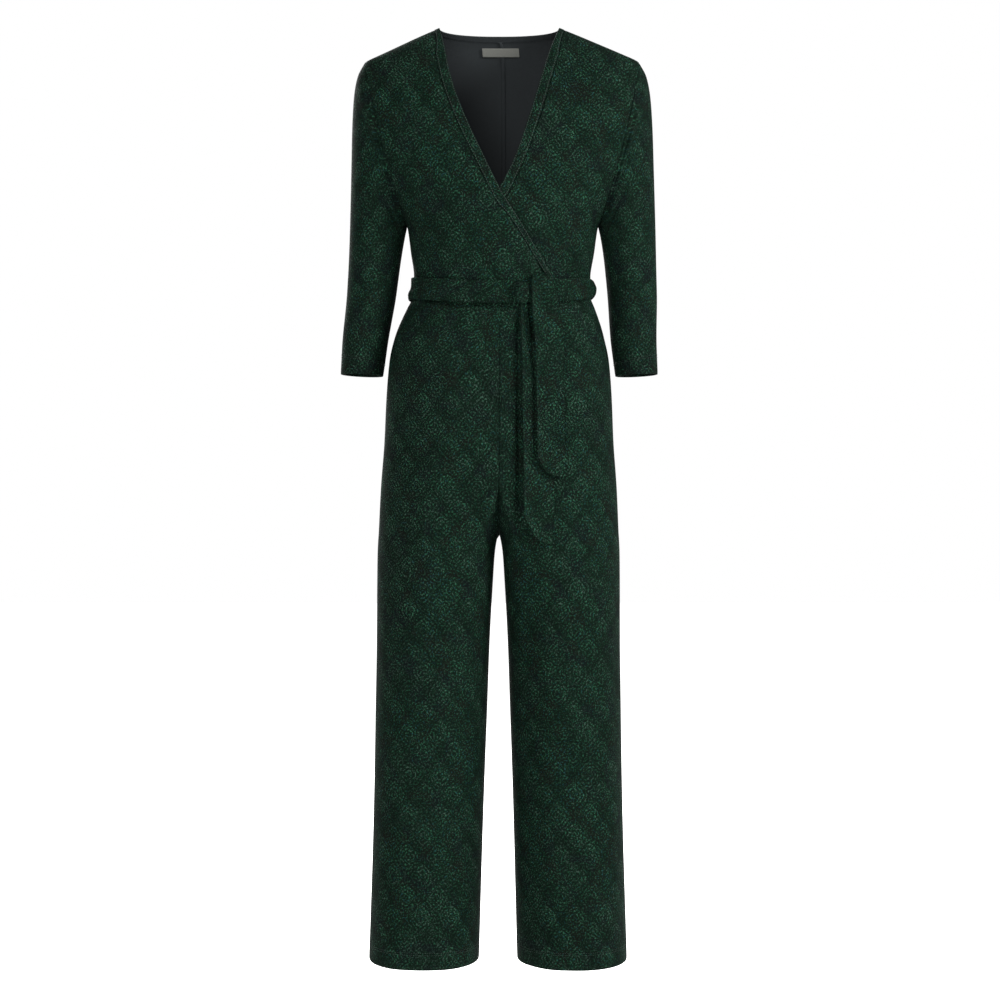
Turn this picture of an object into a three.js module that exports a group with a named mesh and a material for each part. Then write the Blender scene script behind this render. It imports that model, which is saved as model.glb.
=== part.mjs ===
// A wrap-front jersey jumpsuit with three-quarter sleeves, straight legs and a tie belt,
// filled out as if worn. Millimetres, +Z up. The front faces -Y and the wearer's left is +X.
// The origin lies midway between the two high points of the shoulders, beside the neck.
import * as THREE from 'three';

// Cloth and seams
const WALL = 1.6;
const HEM_WALL = 2.8;
const HEM_TURN = 26;
const SEAM_GAP = 0.3;
const BAND_WIDTH = 9;
const BAND_WALL = 2.1;
const LAYER_GAP = 0.5;

// Heights
const NECK_POINT_Z = 0;
const SHOULDER_Z = -52;
const ARMPIT_Z = -300;
const WAIST_Z = -397;
const CROTCH_CURVE_Z = -650;
const CROTCH_Z = -757;
const HEM_Z = -1392;
const HEM_FRONT_DROP = 3;

// Armhole, seen from the front: a leaning oval from the shoulder point to the armpit
const ARMHOLE = { topX: 205, bottomX: 143, bow: 5, front: 62, back: 67 };

// How square the cross-sections are: 2 is an ellipse
const BODY_SQUARE = 2.3;
const LEG_SQUARE = 2.2;
const CROTCH_SQUARE = 3.4;

// The half-body above the crotch: half width at the side, and depth in front and behind
const BODY = [
  { z: 0, side: 90, front: 24, back: 62 },
  { z: -18, side: 129.8, front: 42, back: 74 },
  { z: -52, side: 205, front: 66, back: 87 },
  { z: -93, side: 196, front: 83, back: 97 },
  { z: -138, side: 187, front: 96, back: 103 },
  { z: -190, side: 177, front: 107, back: 106 },
  { z: -240, side: 164, front: 114, back: 104 },
  { z: -300, side: 143, front: 111, back: 98 },
  { z: -340, side: 137.5, front: 103, back: 92 },
  { z: -372, side: 133, front: 96, back: 89 },
  { z: -402, side: 134, front: 95, back: 92 },
  { z: -420, side: 141, front: 98, back: 97 },
  { z: -440, side: 149, front: 101, back: 102 },
  { z: -460, side: 156, front: 104, back: 107 },
  { z: -500, side: 165, front: 107, back: 114 },
  { z: -558, side: 169.5, front: 110, back: 121 },
  { z: -620, side: 172, front: 111, back: 123 },
  { z: -690, side: 177, front: 109, back: 121 },
  { z: -757, side: 180, front: 107, back: 116 },
];

// One leg below the crotch: inner and outer reach from the middle, depth in front and behind
const LEG = [
  { z: -757, inner: 0.4, outer: 180, front: 107, back: 116 },
  { z: -783, inner: 5, outer: 181.5, front: 105, back: 113 },
  { z: -828, inner: 8, outer: 182, front: 102, back: 109 },
  { z: -918, inner: 12.7, outer: 182.5, front: 98, back: 103 },
  { z: -1008, inner: 15.7, outer: 184, front: 95, back: 99 },
  { z: -1188, inner: 21.7, outer: 187.5, front: 92, back: 95 },
  { z: -1392, inner: 27.7, outer: 193.5, front: 92, back: 94 },
];

// The garment hangs a few millimetres off the upright
const LEAN = [
  { z: 0, x: -1 },
  { z: -52, x: 3 },
  { z: -300, x: 4 },
  { z: -395, x: 3 },
  { z: -480, x: -1 },
  { z: -1392, x: -3 },
];

// The sleeve from armhole to cuff: its upper edge, its lower edge, its half depth and its middle
const SLEEVE = [
  { topX: 205, topZ: -52, lowX: 143, lowZ: -300, deep: 64, y: 2 },
  { topX: 216.5, topZ: -74, lowX: 144.6, lowZ: -307, deep: 62, y: 2 },
  { topX: 222.5, topZ: -106, lowX: 146.5, lowZ: -316, deep: 59, y: 3 },
  { topX: 225.5, topZ: -155, lowX: 149, lowZ: -330, deep: 56.5, y: 4 },
  { topX: 227, topZ: -215, lowX: 152, lowZ: -350, deep: 54, y: 5 },
  { topX: 229, topZ: -285, lowX: 155.5, lowZ: -378, deep: 51.5, y: 7 },
  { topX: 231, topZ: -348, lowX: 159.5, lowZ: -412, deep: 49.5, y: 9 },
  { topX: 233.5, topZ: -408, lowX: 164, lowZ: -448, deep: 47.5, y: 11 },
  { topX: 236, topZ: -464, lowX: 169, lowZ: -486, deep: 45.5, y: 13 },
  { topX: 238.5, topZ: -518, lowX: 174, lowZ: -521, deep: 44, y: 15 },
];

// The free edge of each front of the wrap, from the shoulder to the waist
const OVER_EDGE = [
  { z: 0, x: -91 },
  { z: -23, x: -84.7 },
  { z: -85, x: -72 },
  { z: -127, x: -58.4 },
  { z: -166, x: -42.2 },
  { z: -204, x: -24.7 },
  { z: -250, x: -2.5 },
  { z: -310, x: 34 },
  { z: -370, x: 70 },
  { z: -397, x: 86 },
];
const UNDER_EDGE = [
  { z: 0, x: 89 },
  { z: -48, x: 71.5 },
  { z: -94, x: 58 },
  { z: -130, x: 47.5 },
  { z: -163, x: 37 },
  { z: -196, x: 26 },
  { z: -226, x: 13.5 },
  { z: -250, x: 1 },
  { z: -310, x: -34 },
  { z: -370, x: -68 },
  { z: -397, x: -84 },
];

// Long soft folds: a line on one face (-1 in front, 1 behind), its half width and its depth.
// An open fold runs on to the hem or waist at its lower end.
const FOLDS = [
  { face: -1, x1: 47, z1: -800, x2: 55, z2: -1392, wide: 17, deep: 5, open: true },
  { face: -1, x1: -120, z1: -820, x2: -128, z2: -1392, wide: 20, deep: 3, open: true },
  { face: 1, x1: -62, z1: -790, x2: -70, z2: -1392, wide: 20, deep: 5, open: true },
  { face: 1, x1: 98, z1: -800, x2: 104, z2: -1392, wide: 20, deep: 4, open: true },
  { face: 1, x1: 60, z1: -310, x2: 40, z2: -392, wide: 14, deep: 4, open: true },
  { face: 1, x1: -58, z1: -305, x2: -44, z2: -392, wide: 14, deep: 4, open: true },
  { face: 1, x1: 30, z1: -690, x2: 96, z2: -760, wide: 16, deep: 4, open: false },
  { face: 1, x1: -30, z1: -695, x2: -98, z2: -765, wide: 16, deep: 4, open: false },
  { face: -1, x1: -24, z1: -720, x2: -74, z2: -765, wide: 15, deep: 3, open: false },
  { face: -1, x1: 24, z1: -722, x2: 70, z2: -768, wide: 15, deep: 3, open: false },
  { face: -1, x1: 128, z1: -268, x2: 84, z2: -236, wide: 12, deep: 3, open: false },
  { face: -1, x1: -128, z1: -268, x2: -84, z2: -240, wide: 12, deep: 3, open: false },
];

// The belt, its knot and its two tails, with the tails' left and right edges by height
const BELT = { wide: 33, wall: 2.4, clear: 0.9, sideZ: -393, frontZ: -404, backZ: -392, roll: 1.6 };
const KNOT = { x: 30.5, z: -407, wide: 23, high: 34, deep: 13, full: 0.985, wall: 2 };
const TAIL_WALL = 2;
const OVER_TAIL = [
  { z: -391, left: 42.4, right: 60, off: 5.2 },
  { z: -412, left: 43, right: 72, off: 5.3 },
  { z: -440, left: 46.5, right: 86, off: 6.2 },
  { z: -500, left: 51, right: 91.5, off: 5 },
  { z: -570, left: 52, right: 92, off: 4.6 },
  { z: -653, left: 53, right: 91.5, off: 6.6 },
];
const UNDER_TAIL = [
  { z: -424.4, left: 28, right: 38, off: 4.2 },
  { z: -446, left: 27, right: 52, off: 2.8 },
  { z: -475, left: 27.5, right: 68, off: 1.2 },
  { z: -540, left: 30, right: 74, off: 0.4 },
  { z: -600, left: 32.4, right: 76, off: 0.6 },
  { z: -640, left: 33.4, right: 77, off: 1.6 },
  { z: -690, left: 34.4, right: 77.5, off: 4 },
  { z: -741, left: 35, right: 77.5, off: 7.5 },
];
const OVER_TAIL_SLANT = 21;
const UNDER_TAIL_SLANT = 31;

const LABEL = { wide: 57, high: 13, drop: 15, wall: 0.8, clear: 1.8 };

const COLOURS = { jersey: 0x1f3329, label: 0x6f706a };

// Numbers

const clamp = (value, low, high) => Math.min(high, Math.max(low, value));
const mix = (a, b, t) => a + (b - a) * t;

function ease(low, high, value) {
  const t = clamp((value - low) / (high - low), 0, 1);
  return t * t * (3 - 2 * t);
}

// A signed power, which squares off an ellipse
const squared = (value, power) => Math.sign(value) * Math.abs(value) ** power;

// A smooth monotone curve through one column of a table whose rows are ordered by `key`
function along(table, column, at, key = 'z') {
  const down = table[1][key] < table[0][key] ? -1 : 1;
  const last = table.length - 1;
  let i = 0;
  while (i < last - 1 && (at - table[i + 1][key]) * down > 0) i += 1;
  const slope = (j) => {
    if (j < 0 || j >= last) return null;
    return (table[j + 1][column] - table[j][column]) / (table[j + 1][key] - table[j][key]);
  };
  const tangent = (j) => {
    const before = slope(j - 1);
    const after = slope(j);
    if (before === null) return after;
    if (after === null) return before;
    return before * after <= 0 ? 0 : (2 * before * after) / (before + after);
  };
  const step = table[i + 1][key] - table[i][key];
  const t = clamp((at - table[i][key]) / step, 0, 1);
  const t2 = t * t;
  const t3 = t2 * t;
  return (2 * t3 - 3 * t2 + 1) * table[i][column] + (t3 - 2 * t2 + t) * step * tangent(i)
    + (3 * t2 - 2 * t3) * table[i + 1][column] + (t3 - t2) * step * tangent(i + 1);
}

// Form of the body

const armholeMiddle = (SHOULDER_Z + ARMPIT_Z) / 2;
const armholeHalf = (SHOULDER_Z - ARMPIT_Z) / 2;

// How far down the armhole a height lies: 1 at the shoulder point, -1 at the armpit
const armholeShare = (z) => clamp((z - armholeMiddle) / armholeHalf, -1, 1);

// Half width of a bodice panel: shoulder seam, then armhole, then side seam
function sideReach(z) {
  if (z >= SHOULDER_Z) {
    return mix(ARMHOLE.topX, BODY[0].side, (z - SHOULDER_Z) / (NECK_POINT_Z - SHOULDER_Z));
  }
  if (z <= ARMPIT_Z) return along(BODY, 'side', z);
  const share = armholeShare(z);
  return mix(ARMHOLE.bottomX, ARMHOLE.topX, (share + 1) / 2) + ARMHOLE.bow * (1 - share * share);
}

// Depth of the panel's edge at the armhole, and nothing at a seam
function edgeDepth(z, face) {
  if (z >= SHOULDER_Z || z <= ARMPIT_Z) return 0;
  const share = armholeShare(z);
  return (face < 0 ? ARMHOLE.front : ARMHOLE.back) * Math.sqrt(1 - share * share);
}

function foldDepth(x, z, face) {
  let depth = 0;
  for (const fold of FOLDS) {
    if (fold.face !== face) continue;
    const runX = fold.x2 - fold.x1;
    const runZ = fold.z2 - fold.z1;
    const length = Math.hypot(runX, runZ);
    const t = ((x - fold.x1) * runX + (z - fold.z1) * runZ) / (length * length);
    const off = ((x - fold.x1) * runZ - (z - fold.z1) * runX) / length;
    const fade = ease(-0.15, 0.25, t) * (fold.open ? 1 : 1 - ease(0.7, 1.15, t));
    depth += fold.deep * fade * Math.exp(-((off / fold.wide) ** 2));
  }
  return depth;
}

// A point of the body above the crotch. Turn 0 is the middle and +-90 degrees the sides.
function bodyPoint(turn, z, face, out = 0) {
  const depth = along(BODY, face < 0 ? 'front' : 'back', z);
  const edge = clamp(edgeDepth(z, face) / depth, 0, 0.98);
  const reach = sideReach(z);
  const sine = clamp(Math.sin(turn), -1, 1);
  const x = reach * squared(sine, 2 / BODY_SQUARE);
  const keep = 1 - edge ** BODY_SQUARE;
  const y = depth * Math.max(0, 1 - keep * sine * sine) ** (1 / BODY_SQUARE);
  const fold = foldDepth(x, z, face) * Math.cos(turn);
  const place = new THREE.Vector3(x, face * (y - fold + SEAM_GAP / 2), z);
  if (out !== 0) place.addScaledVector(bodyNormal(turn, z, face), out);
  return place;
}

function bodyNormal(turn, z, face) {
  const small = 0.01;
  const across = bodyPoint(turn + small, z, face).sub(bodyPoint(turn - small, z, face));
  const up = bodyPoint(turn, z + 1, face).sub(bodyPoint(turn, z - 1, face));
  const normal = across.cross(up).normalize();
  return normal.y * face < 0 ? normal.negate() : normal;
}

// The turn at which a panel reaches a given distance from the middle
function turnAt(x, z) {
  const share = clamp(x / sideReach(z), -1, 1);
  return Math.asin(squared(share, BODY_SQUARE / 2));
}

const lean = (z) => along(LEAN, 'x', clamp(z, HEM_Z, 0));

// Walls of cloth

// Turns a grid of outer points into one closed wall. The grid is a plane geometry whose points
// are moved by surface(across, along). Its wall lies inwards of them, by the thickness there. A seam
// gives the direction out of the piece across one border, and the wall doesn't reach past it.
function wall({ surface, across, down, thick, seams = {}, loop = false, flip = false }) {
  const small = 1e-4;
  const skin = new THREE.PlaneGeometry(1, 1, across, down);
  const columns = loop ? across : across + 1;
  const outer = [];
  const inner = [];
  for (let row = 0; row <= down; row += 1) {
    for (let column = 0; column < columns; column += 1) {
      const place = new THREE.Vector3().fromBufferAttribute(
        skin.attributes.position, row * (across + 1) + column);
      const u = place.x + 0.5;
      const v = 0.5 - place.y;
      const low = loop ? u - small : Math.max(0, u - small);
      const high = loop ? u + small : Math.min(1, u + small);
      const sideways = surface(high, v).sub(surface(low, v));
      const downwards = surface(u, Math.min(1, v + small)).sub(surface(u, Math.max(0, v - small)));
      const normal = sideways.cross(downwards).multiplyScalar(flip ? -1 : 1).normalize();
      const borders = [
        [!loop && column === 0, seams.left],
        [!loop && column === across, seams.right],
        [row === 0, seams.top],
        [row === down, seams.bottom],
      ];
      for (const [onBorder, seam] of borders) {
        if (!onBorder || !seam) continue;
        const beyond = -normal.dot(seam(v));
        if (beyond > 0) normal.addScaledVector(seam(v), beyond);
      }
      normal.normalize();
      const point = surface(u, v);
      outer.push(point);
      inner.push(point.clone().addScaledVector(normal, -thick(u, v)));
    }
  }
  return closedWall(outer, inner, columns, down + 1, loop);
}

const towards = (x, y, z) => () => new THREE.Vector3(x, y, z).normalize();
const UP = towards(0, 0, 1);
const DOWN = towards(0, 0, -1);

// Across the armhole, out of the bodice
const armholeTilt = (ARMHOLE.topX - ARMHOLE.bottomX) / (SHOULDER_Z - ARMPIT_Z);
const outOfArmhole = (side) => towards(side, 0, -armholeTilt)();

// Joins two skins of equal grids into one closed body, lets it lean, and turns its faces outwards
function closedWall(outer, inner, columns, rows, loop) {
  const points = [...outer, ...inner];
  const half = outer.length;
  const faces = [];
  const quad = (a, b, c, d) => faces.push(a, b, c, a, c, d);
  const at = (row, column) => row * columns + (column % columns);
  const spans = loop ? columns : columns - 1;
  for (let row = 0; row < rows - 1; row += 1) {
    for (let column = 0; column < spans; column += 1) {
      const next = column + 1;
      const corners = [at(row, column), at(row + 1, column), at(row + 1, next), at(row, next)];
      quad(...corners);
      quad(...corners.map((corner) => corner + half).reverse());
    }
    if (!loop) {
      const end = columns - 1;
      quad(at(row, 0), at(row, 0) + half, at(row + 1, 0) + half, at(row + 1, 0));
      quad(at(row + 1, end), at(row + 1, end) + half, at(row, end) + half, at(row, end));
    }
  }
  const bottom = rows - 1;
  for (let column = 0; column < spans; column += 1) {
    const next = column + 1;
    const [left, right] = [at(bottom, column), at(bottom, next)];
    quad(at(0, next), at(0, next) + half, at(0, column) + half, at(0, column));
    quad(left, left + half, right + half, right);
  }
  for (const point of points) point.x += lean(point.z);
  if (volume(points, faces) < 0) faces.reverse();
  const geometry = new THREE.BufferGeometry().setFromPoints(points);
  geometry.setIndex(faces);
  geometry.computeVertexNormals();
  return geometry;
}

function volume(points, faces) {
  let sum = 0;
  for (let i = 0; i < faces.length; i += 3) {
    const [a, b, c] = [points[faces[i]], points[faces[i + 1]], points[faces[i + 2]]];
    sum += a.dot(b.clone().cross(c));
  }
  return sum / 6;
}

function mesh(name, geometry, colour = COLOURS.jersey) {
  const material = new THREE.MeshStandardMaterial({ color: colour, roughness: 0.85, metalness: 0 });
  const made = new THREE.Mesh(geometry, material);
  made.name = name;
  return made;
}

// Bodice

const ARMHOLE_STEPS = 12;
const ROWS_BELOW_ARMPIT = 5;
const BODICE_ROWS = ROWS_BELOW_ARMPIT + ARMHOLE_STEPS;
const armpitShare = ROWS_BELOW_ARMPIT / BODICE_ROWS;

// Height of a bodice panel's outer border: v is 0 at the shoulder and 1 at the waist
function sideHeight(v) {
  const up = 1 - v;
  if (up <= armpitShare) return mix(WAIST_Z + SEAM_GAP / 2, ARMPIT_Z, up / armpitShare);
  const t = (up - armpitShare) / (1 - armpitShare);
  return armholeMiddle - armholeHalf * Math.cos(Math.PI * t);
}

// Height of a bodice panel's inner border
function middleHeight(v, top) {
  const up = 1 - v;
  if (up <= armpitShare) return mix(WAIST_Z + SEAM_GAP / 2, ARMPIT_Z, up / armpitShare);
  return mix(ARMPIT_Z, top, (up - armpitShare) / (1 - armpitShare));
}

// Across a bodice panel's outer border: the side seam, then the armhole
const bodiceSide = (side, face) => (v) => (
  sideHeight(v) <= ARMPIT_Z ? towards(0, -face, 0)() : outOfArmhole(side)
);

// How much the under front sinks beneath the over front
function sunk(x, z) {
  const cover = along(OVER_EDGE, 'x', z) - x;
  return (BAND_WALL + LAYER_GAP) * ease(-75, -22, cover) * (1 - ease(-160, -60, z));
}

// One point of a front, from its free edge (across 0) to its side seam or armhole (across 1)
function frontPoint(side, across, v) {
  const edge = side < 0 ? OVER_EDGE : UNDER_EDGE;
  const edgeZ = middleHeight(v, NECK_POINT_Z);
  const edgeTurn = v === 0 ? (side * Math.PI) / 2 : turnAt(along(edge, 'x', edgeZ) - lean(edgeZ), edgeZ);
  const turn = mix(edgeTurn, (side * Math.PI) / 2, across);
  const z = mix(edgeZ, sideHeight(v), across);
  const place = bodyPoint(turn, z, -1);
  if (side > 0) {
    const depth = sunk(place.x + lean(z), z);
    if (depth > 0) place.addScaledVector(bodyNormal(turn, z, -1), -depth);
  }
  return place;
}

// The share of a front's row that its neck band takes
function bandShare(side, v) {
  const steps = 24;
  let length = 0;
  let before = frontPoint(side, 0, v);
  for (let i = 1; i <= steps; i += 1) {
    const next = frontPoint(side, i / steps, v);
    length += next.distanceTo(before);
    before = next;
  }
  return { band: BAND_WIDTH / length, gap: SEAM_GAP / length };
}

function frontPanel(side, across) {
  return wall({
    surface: (u, v) => {
      const share = bandShare(side, v);
      return frontPoint(side, mix(share.band + share.gap, 1, u), v);
    },
    across,
    down: BODICE_ROWS,
    thick: () => WALL,
    seams: { top: towards(0, 1, 0), bottom: DOWN, right: bodiceSide(side, -1) },
    flip: side > 0,
  });
}

function frontBand(side) {
  return wall({
    surface: (u, v) => frontPoint(side, u * bandShare(side, v).band, v),
    across: 2,
    down: BODICE_ROWS,
    thick: () => BAND_WALL,
    seams: { top: towards(0, 1, 0), bottom: DOWN },
    flip: side > 0,
  });
}

// Depth of the neck band below the back neck edge: less at the shoulder, which slopes
const backBandDrop = (turn) => mix(7.6, 3.6, Math.sin(turn) ** 2);
const NECK_SHARE = 0.5;

// How far up from the armpit to the shoulder a row of the back lies
const backShare = (v) => clamp((1 - v - armpitShare) / (1 - armpitShare), 0, 1);

// One point of a half back, from the centre seam and neck edge to the side seam and armhole
function backPoint(side, across, v) {
  const t = backShare(v);
  const round = clamp((t - NECK_SHARE) / (1 - NECK_SHARE), 0, 1);
  const startTurn = (round * Math.PI) / 2;
  const neckZ = NECK_POINT_Z - backBandDrop(startTurn) - SEAM_GAP;
  const rise = 1 - (1 - clamp(t / NECK_SHARE, 0, 1)) ** 1.6;
  const z = t === 0 ? sideHeight(v) : mix(mix(ARMPIT_Z, neckZ, rise), sideHeight(v), across);
  const place = bodyPoint(mix(startTurn, Math.PI / 2, across), z, 1);
  place.x += SEAM_GAP / 2;
  place.x *= side;
  return place;
}

function backPanel(side) {
  return wall({
    surface: (u, v) => backPoint(side, u, v),
    across: 9,
    down: BODICE_ROWS,
    thick: () => WALL,
    seams: {
      top: towards(0, -1, 0),
      bottom: DOWN,
      left: (v) => (backShare(v) <= NECK_SHARE ? towards(-side, 0, 0)() : UP()),
      right: bodiceSide(side, 1),
    },
    flip: side < 0,
  });
}

function backBand() {
  return wall({
    surface: (u, v) => {
      const turn = mix(-Math.PI / 2, Math.PI / 2, u);
      return bodyPoint(turn, NECK_POINT_Z - backBandDrop(turn) * v, 1);
    },
    across: ARMHOLE_STEPS,
    down: 2,
    thick: () => BAND_WALL,
    seams: { left: towards(0, -1, 0), right: towards(0, -1, 0) },
    flip: false,
  });
}

// Sleeves

function sleevePoint(side, u, v) {
  const rows = SLEEVE.map((row, index) => ({ ...row, at: index / (SLEEVE.length - 1) }));
  const read = (column) => along(rows, column, v, 'at');
  const angle = u * Math.PI * 2;
  const share = Math.cos(angle);
  const out = Math.sin(angle);
  const start = ARMHOLE.bow * (1 - share * share) * (1 - ease(0, 0.25, v));
  const deep = mix(out < 0 ? ARMHOLE.front : ARMHOLE.back, read('deep'), ease(0, 0.15, v));
  const middle = mix(0, read('y'), ease(0, 0.3, v));
  const topX = read('topX');
  const lowX = read('lowX');
  const gap = SEAM_GAP * 1.2;
  const x = mix(lowX, topX, (share + 1) / 2) + start + gap;
  const z = mix(read('lowZ'), read('topZ'), (share + 1) / 2) - gap * armholeTilt;
  return new THREE.Vector3(side * x, middle + deep * out, z);
}

function sleeve(side) {
  const length = SLEEVE[0].topZ - SLEEVE[SLEEVE.length - 1].topZ;
  return wall({
    surface: (u, v) => sleevePoint(side, u, v),
    across: 2 * ARMHOLE_STEPS,
    down: 12,
    thick: (u, v) => mix(HEM_WALL, WALL, ease(HEM_TURN * 0.8, HEM_TURN * 1.2, (1 - v) * length)),
    seams: { top: () => outOfArmhole(side).negate() },
    loop: true,
    flip: side > 0,
  });
}

// Legs

const LEG_ROWS = { waistToCurve: 7, curve: 5, below: 9 };
const SEAM_PATH = 0.38;
const legRows = LEG_ROWS.waistToCurve + LEG_ROWS.curve + LEG_ROWS.below;

// Height of a row, and how far the crotch curve has turned there
function legLevel(v) {
  const row = v * legRows;
  if (row <= LEG_ROWS.waistToCurve) {
    const share = (row / LEG_ROWS.waistToCurve) ** 1.5;
    return { z: mix(WAIST_Z - SEAM_GAP / 2, CROTCH_CURVE_Z, share), turned: 0 };
  }
  const into = row - LEG_ROWS.waistToCurve;
  if (into <= LEG_ROWS.curve) {
    const quarter = (into / LEG_ROWS.curve) * (Math.PI / 2);
    return { z: mix(CROTCH_CURVE_Z, CROTCH_Z, Math.sin(quarter)), turned: 1 - Math.cos(quarter) };
  }
  return { z: mix(CROTCH_Z, HEM_Z, (into - LEG_ROWS.curve) / LEG_ROWS.below), turned: 1 };
}

// Sizes of the half-body or leg at a height
function legSizes(z, face) {
  const above = z > CROTCH_Z;
  return {
    inner: along(LEG, 'inner', Math.min(z, CROTCH_Z)),
    outer: above ? sideReach(z) : along(LEG, 'outer', z),
    depth: along(above ? BODY : LEG, face < 0 ? 'front' : 'back', z),
  };
}

// A point of one half-section. Path 0 is the inseam, SEAM_PATH the middle of the front or back
// above the crotch, and 1 the side seam. Low down it rounds off into the leg's own ring.
function legSection(path, z, face) {
  const { inner, outer, depth } = legSizes(z, face);
  const turn = (clamp((path - SEAM_PATH) / (1 - SEAM_PATH), 0, 1) * Math.PI) / 2;
  const flat = clamp(path / SEAM_PATH, 0, 1);
  const half = {
    x: inner + (outer - inner) * squared(Math.sin(turn), 2 / BODY_SQUARE),
    y: depth * (path < SEAM_PATH ? flat : squared(Math.cos(turn), 2 / BODY_SQUARE)),
  };
  const angle = path * Math.PI;
  const square = path < 0.5 ? mix(LEG_SQUARE, CROTCH_SQUARE, ease(-930, CROTCH_Z, z)) : LEG_SQUARE;
  const ring = {
    x: (inner + outer) / 2 - ((outer - inner) / 2) * squared(Math.cos(angle), 2 / square),
    y: depth * squared(Math.sin(angle), 2 / square),
  };
  const round = ease(CROTCH_CURVE_Z + 20, CROTCH_Z - 75, z);
  return { x: mix(half.x, ring.x, round), y: mix(half.y, ring.y, round) };
}

function legPoint(side, face, u, v) {
  const { z, turned } = legLevel(v);
  const across = clamp(u, 0, 1);
  const start = SEAM_PATH * (1 - turned);
  const section = legSection(mix(start, 1, across), z, face);
  const seamX = turned < 1 ? legSection(start, z, face).x : 0;
  const x = section.x - seamX * (1 - across) ** 2 + SEAM_GAP / 2;
  const facing = Math.sin(mix(start, 1, across) * Math.PI) ** 2;
  const y = section.y - foldDepth(side * x, z, face) * facing + SEAM_GAP / 2;
  const drop = face < 0 ? HEM_FRONT_DROP * Math.sin(across * Math.PI) * ease(-1200, HEM_Z, z) : 0;
  return new THREE.Vector3(side * x, face * y, z - drop);
}

function leg(side, face) {
  return wall({
    surface: (u, v) => legPoint(side, face, u, v),
    across: 10,
    down: legRows,
    thick: (u, v) => mix(HEM_WALL, WALL, ease(HEM_TURN * 0.8, HEM_TURN * 1.2, legLevel(v).z - HEM_Z)),
    seams: {
      top: UP,
      left: (v) => (legLevel(v).turned < 1 ? towards(-side, 0, 0)() : towards(0, -face, 0)()),
      right: towards(0, -face, 0),
    },
    flip: side * face < 0,
  });
}

// Belt

// Height of the belt's middle line, round the waist
function beltHeight(turn, face) {
  return mix(face < 0 ? BELT.frontZ : BELT.backZ, BELT.sideZ, Math.sin(turn) ** 2);
}

// A point on the outside of the belt. Round goes once about the waist from the front.
function beltPoint(round, v, out = 0) {
  const angle = round * Math.PI * 2;
  const face = Math.cos(angle) >= 0 ? -1 : 1;
  const turn = Math.atan2(Math.sin(angle), Math.abs(Math.cos(angle)));
  const z = beltHeight(turn, face) + BELT.wide * (0.5 - v);
  const roll = BELT.roll * (1 - (2 * v - 1) ** 2);
  const widest = Math.max(sideReach(z), sideReach(WAIST_Z));
  const depth = (height) => along(BODY, face < 0 ? 'front' : 'back', height);
  const deepest = Math.max(depth(z), depth(WAIST_Z));
  const off = BELT.clear + BELT.wall + roll + out;
  const x = (widest + off) * squared(Math.sin(turn), 2 / BODY_SQUARE);
  const y = (deepest + off) * squared(Math.cos(turn), 2 / BODY_SQUARE);
  return new THREE.Vector3(x, face * y, z);
}

function beltWaist() {
  return wall({
    surface: (u, v) => beltPoint(u, v),
    across: 48,
    down: 3,
    thick: () => BELT.wall,
    loop: true,
    flip: true,
  });
}

// A front point that lies a given way off the body, at a given place in the front view
function frontAt(x, z, off) {
  const turn = turnAt(x - lean(z), z);
  return bodyPoint(turn, z, -1, off);
}

// The knot: a rounded pad of cloth on the belt, with one slanting fold
function beltKnot() {
  const seat = BELT.clear + BELT.wall + BELT.roll - 0.4;
  const rings = 5;
  const around = 12;
  return wall({
    surface: (u, v) => {
      const angle = u * Math.PI * 2;
      const reach = mix(0.18, 1, v);
      const x = KNOT.x + (KNOT.wide / 2) * reach * squared(Math.cos(angle), 0.8);
      const z = KNOT.z + (KNOT.high / 2) * reach * squared(Math.sin(angle), 0.8);
      const dome = KNOT.deep * Math.sqrt(1 - reach * reach * KNOT.full);
      return frontAt(x, z, seat + dome);
    },
    across: around,
    down: rings,
    thick: () => KNOT.wall,
    loop: true,
    flip: true,
  });
}

// A tail that hangs from the knot, with a slanting end that is longer on the wearer's left
function beltTail(table, slant) {
  const top = table[0].z;
  const end = table[table.length - 1].z;
  return wall({
    surface: (u, v) => {
      const straight = mix(top, end, v);
      const corner = 1 - (1 - u) ** 3;
      const z = straight - slant * ease(0.72, 1, v) * corner + 7 * ease(0.9, 1, v) * ease(0.3, 0, u);
      const read = (column) => along(table, column, straight);
      const x = mix(read('left'), read('right'), u);
      return frontAt(x, z, read('off') + TAIL_WALL);
    },
    across: 3,
    down: 13,
    thick: () => TAIL_WALL,
    flip: true,
  });
}

function neckLabel() {
  const inwards = WALL + LABEL.clear;
  return wall({
    surface: (u, v) => {
      const z = -LABEL.drop - LABEL.high * v;
      const turn = turnAt(LABEL.wide * (u - 0.5), z);
      return bodyPoint(turn, z, 1, -inwards);
    },
    across: 6,
    down: 2,
    thick: () => LABEL.wall,
    flip: false,
  });
}

const jumpsuit = new THREE.Group();
jumpsuit.add(
  mesh('front_bodice_right', frontPanel(-1, 11)),
  mesh('front_bodice_left', frontPanel(1, 11)),
  mesh('back_bodice_right', backPanel(-1)),
  mesh('back_bodice_left', backPanel(1)),
  mesh('neck_band_right', frontBand(-1)),
  mesh('neck_band_left', frontBand(1)),
  mesh('neck_band_back', backBand()),
  mesh('sleeve_right', sleeve(-1)),
  mesh('sleeve_left', sleeve(1)),
  mesh('front_leg_right', leg(-1, -1)),
  mesh('front_leg_left', leg(1, -1)),
  mesh('back_leg_right', leg(-1, 1)),
  mesh('back_leg_left', leg(1, 1)),
  mesh('belt_waist', beltWaist()),
  mesh('belt_knot', beltKnot()),
  mesh('belt_tail_over', beltTail(OVER_TAIL, OVER_TAIL_SLANT)),
  mesh('belt_tail_under', beltTail(UNDER_TAIL, UNDER_TAIL_SLANT)),
  mesh('neck_label', neckLabel(), COLOURS.label),
);

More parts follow.
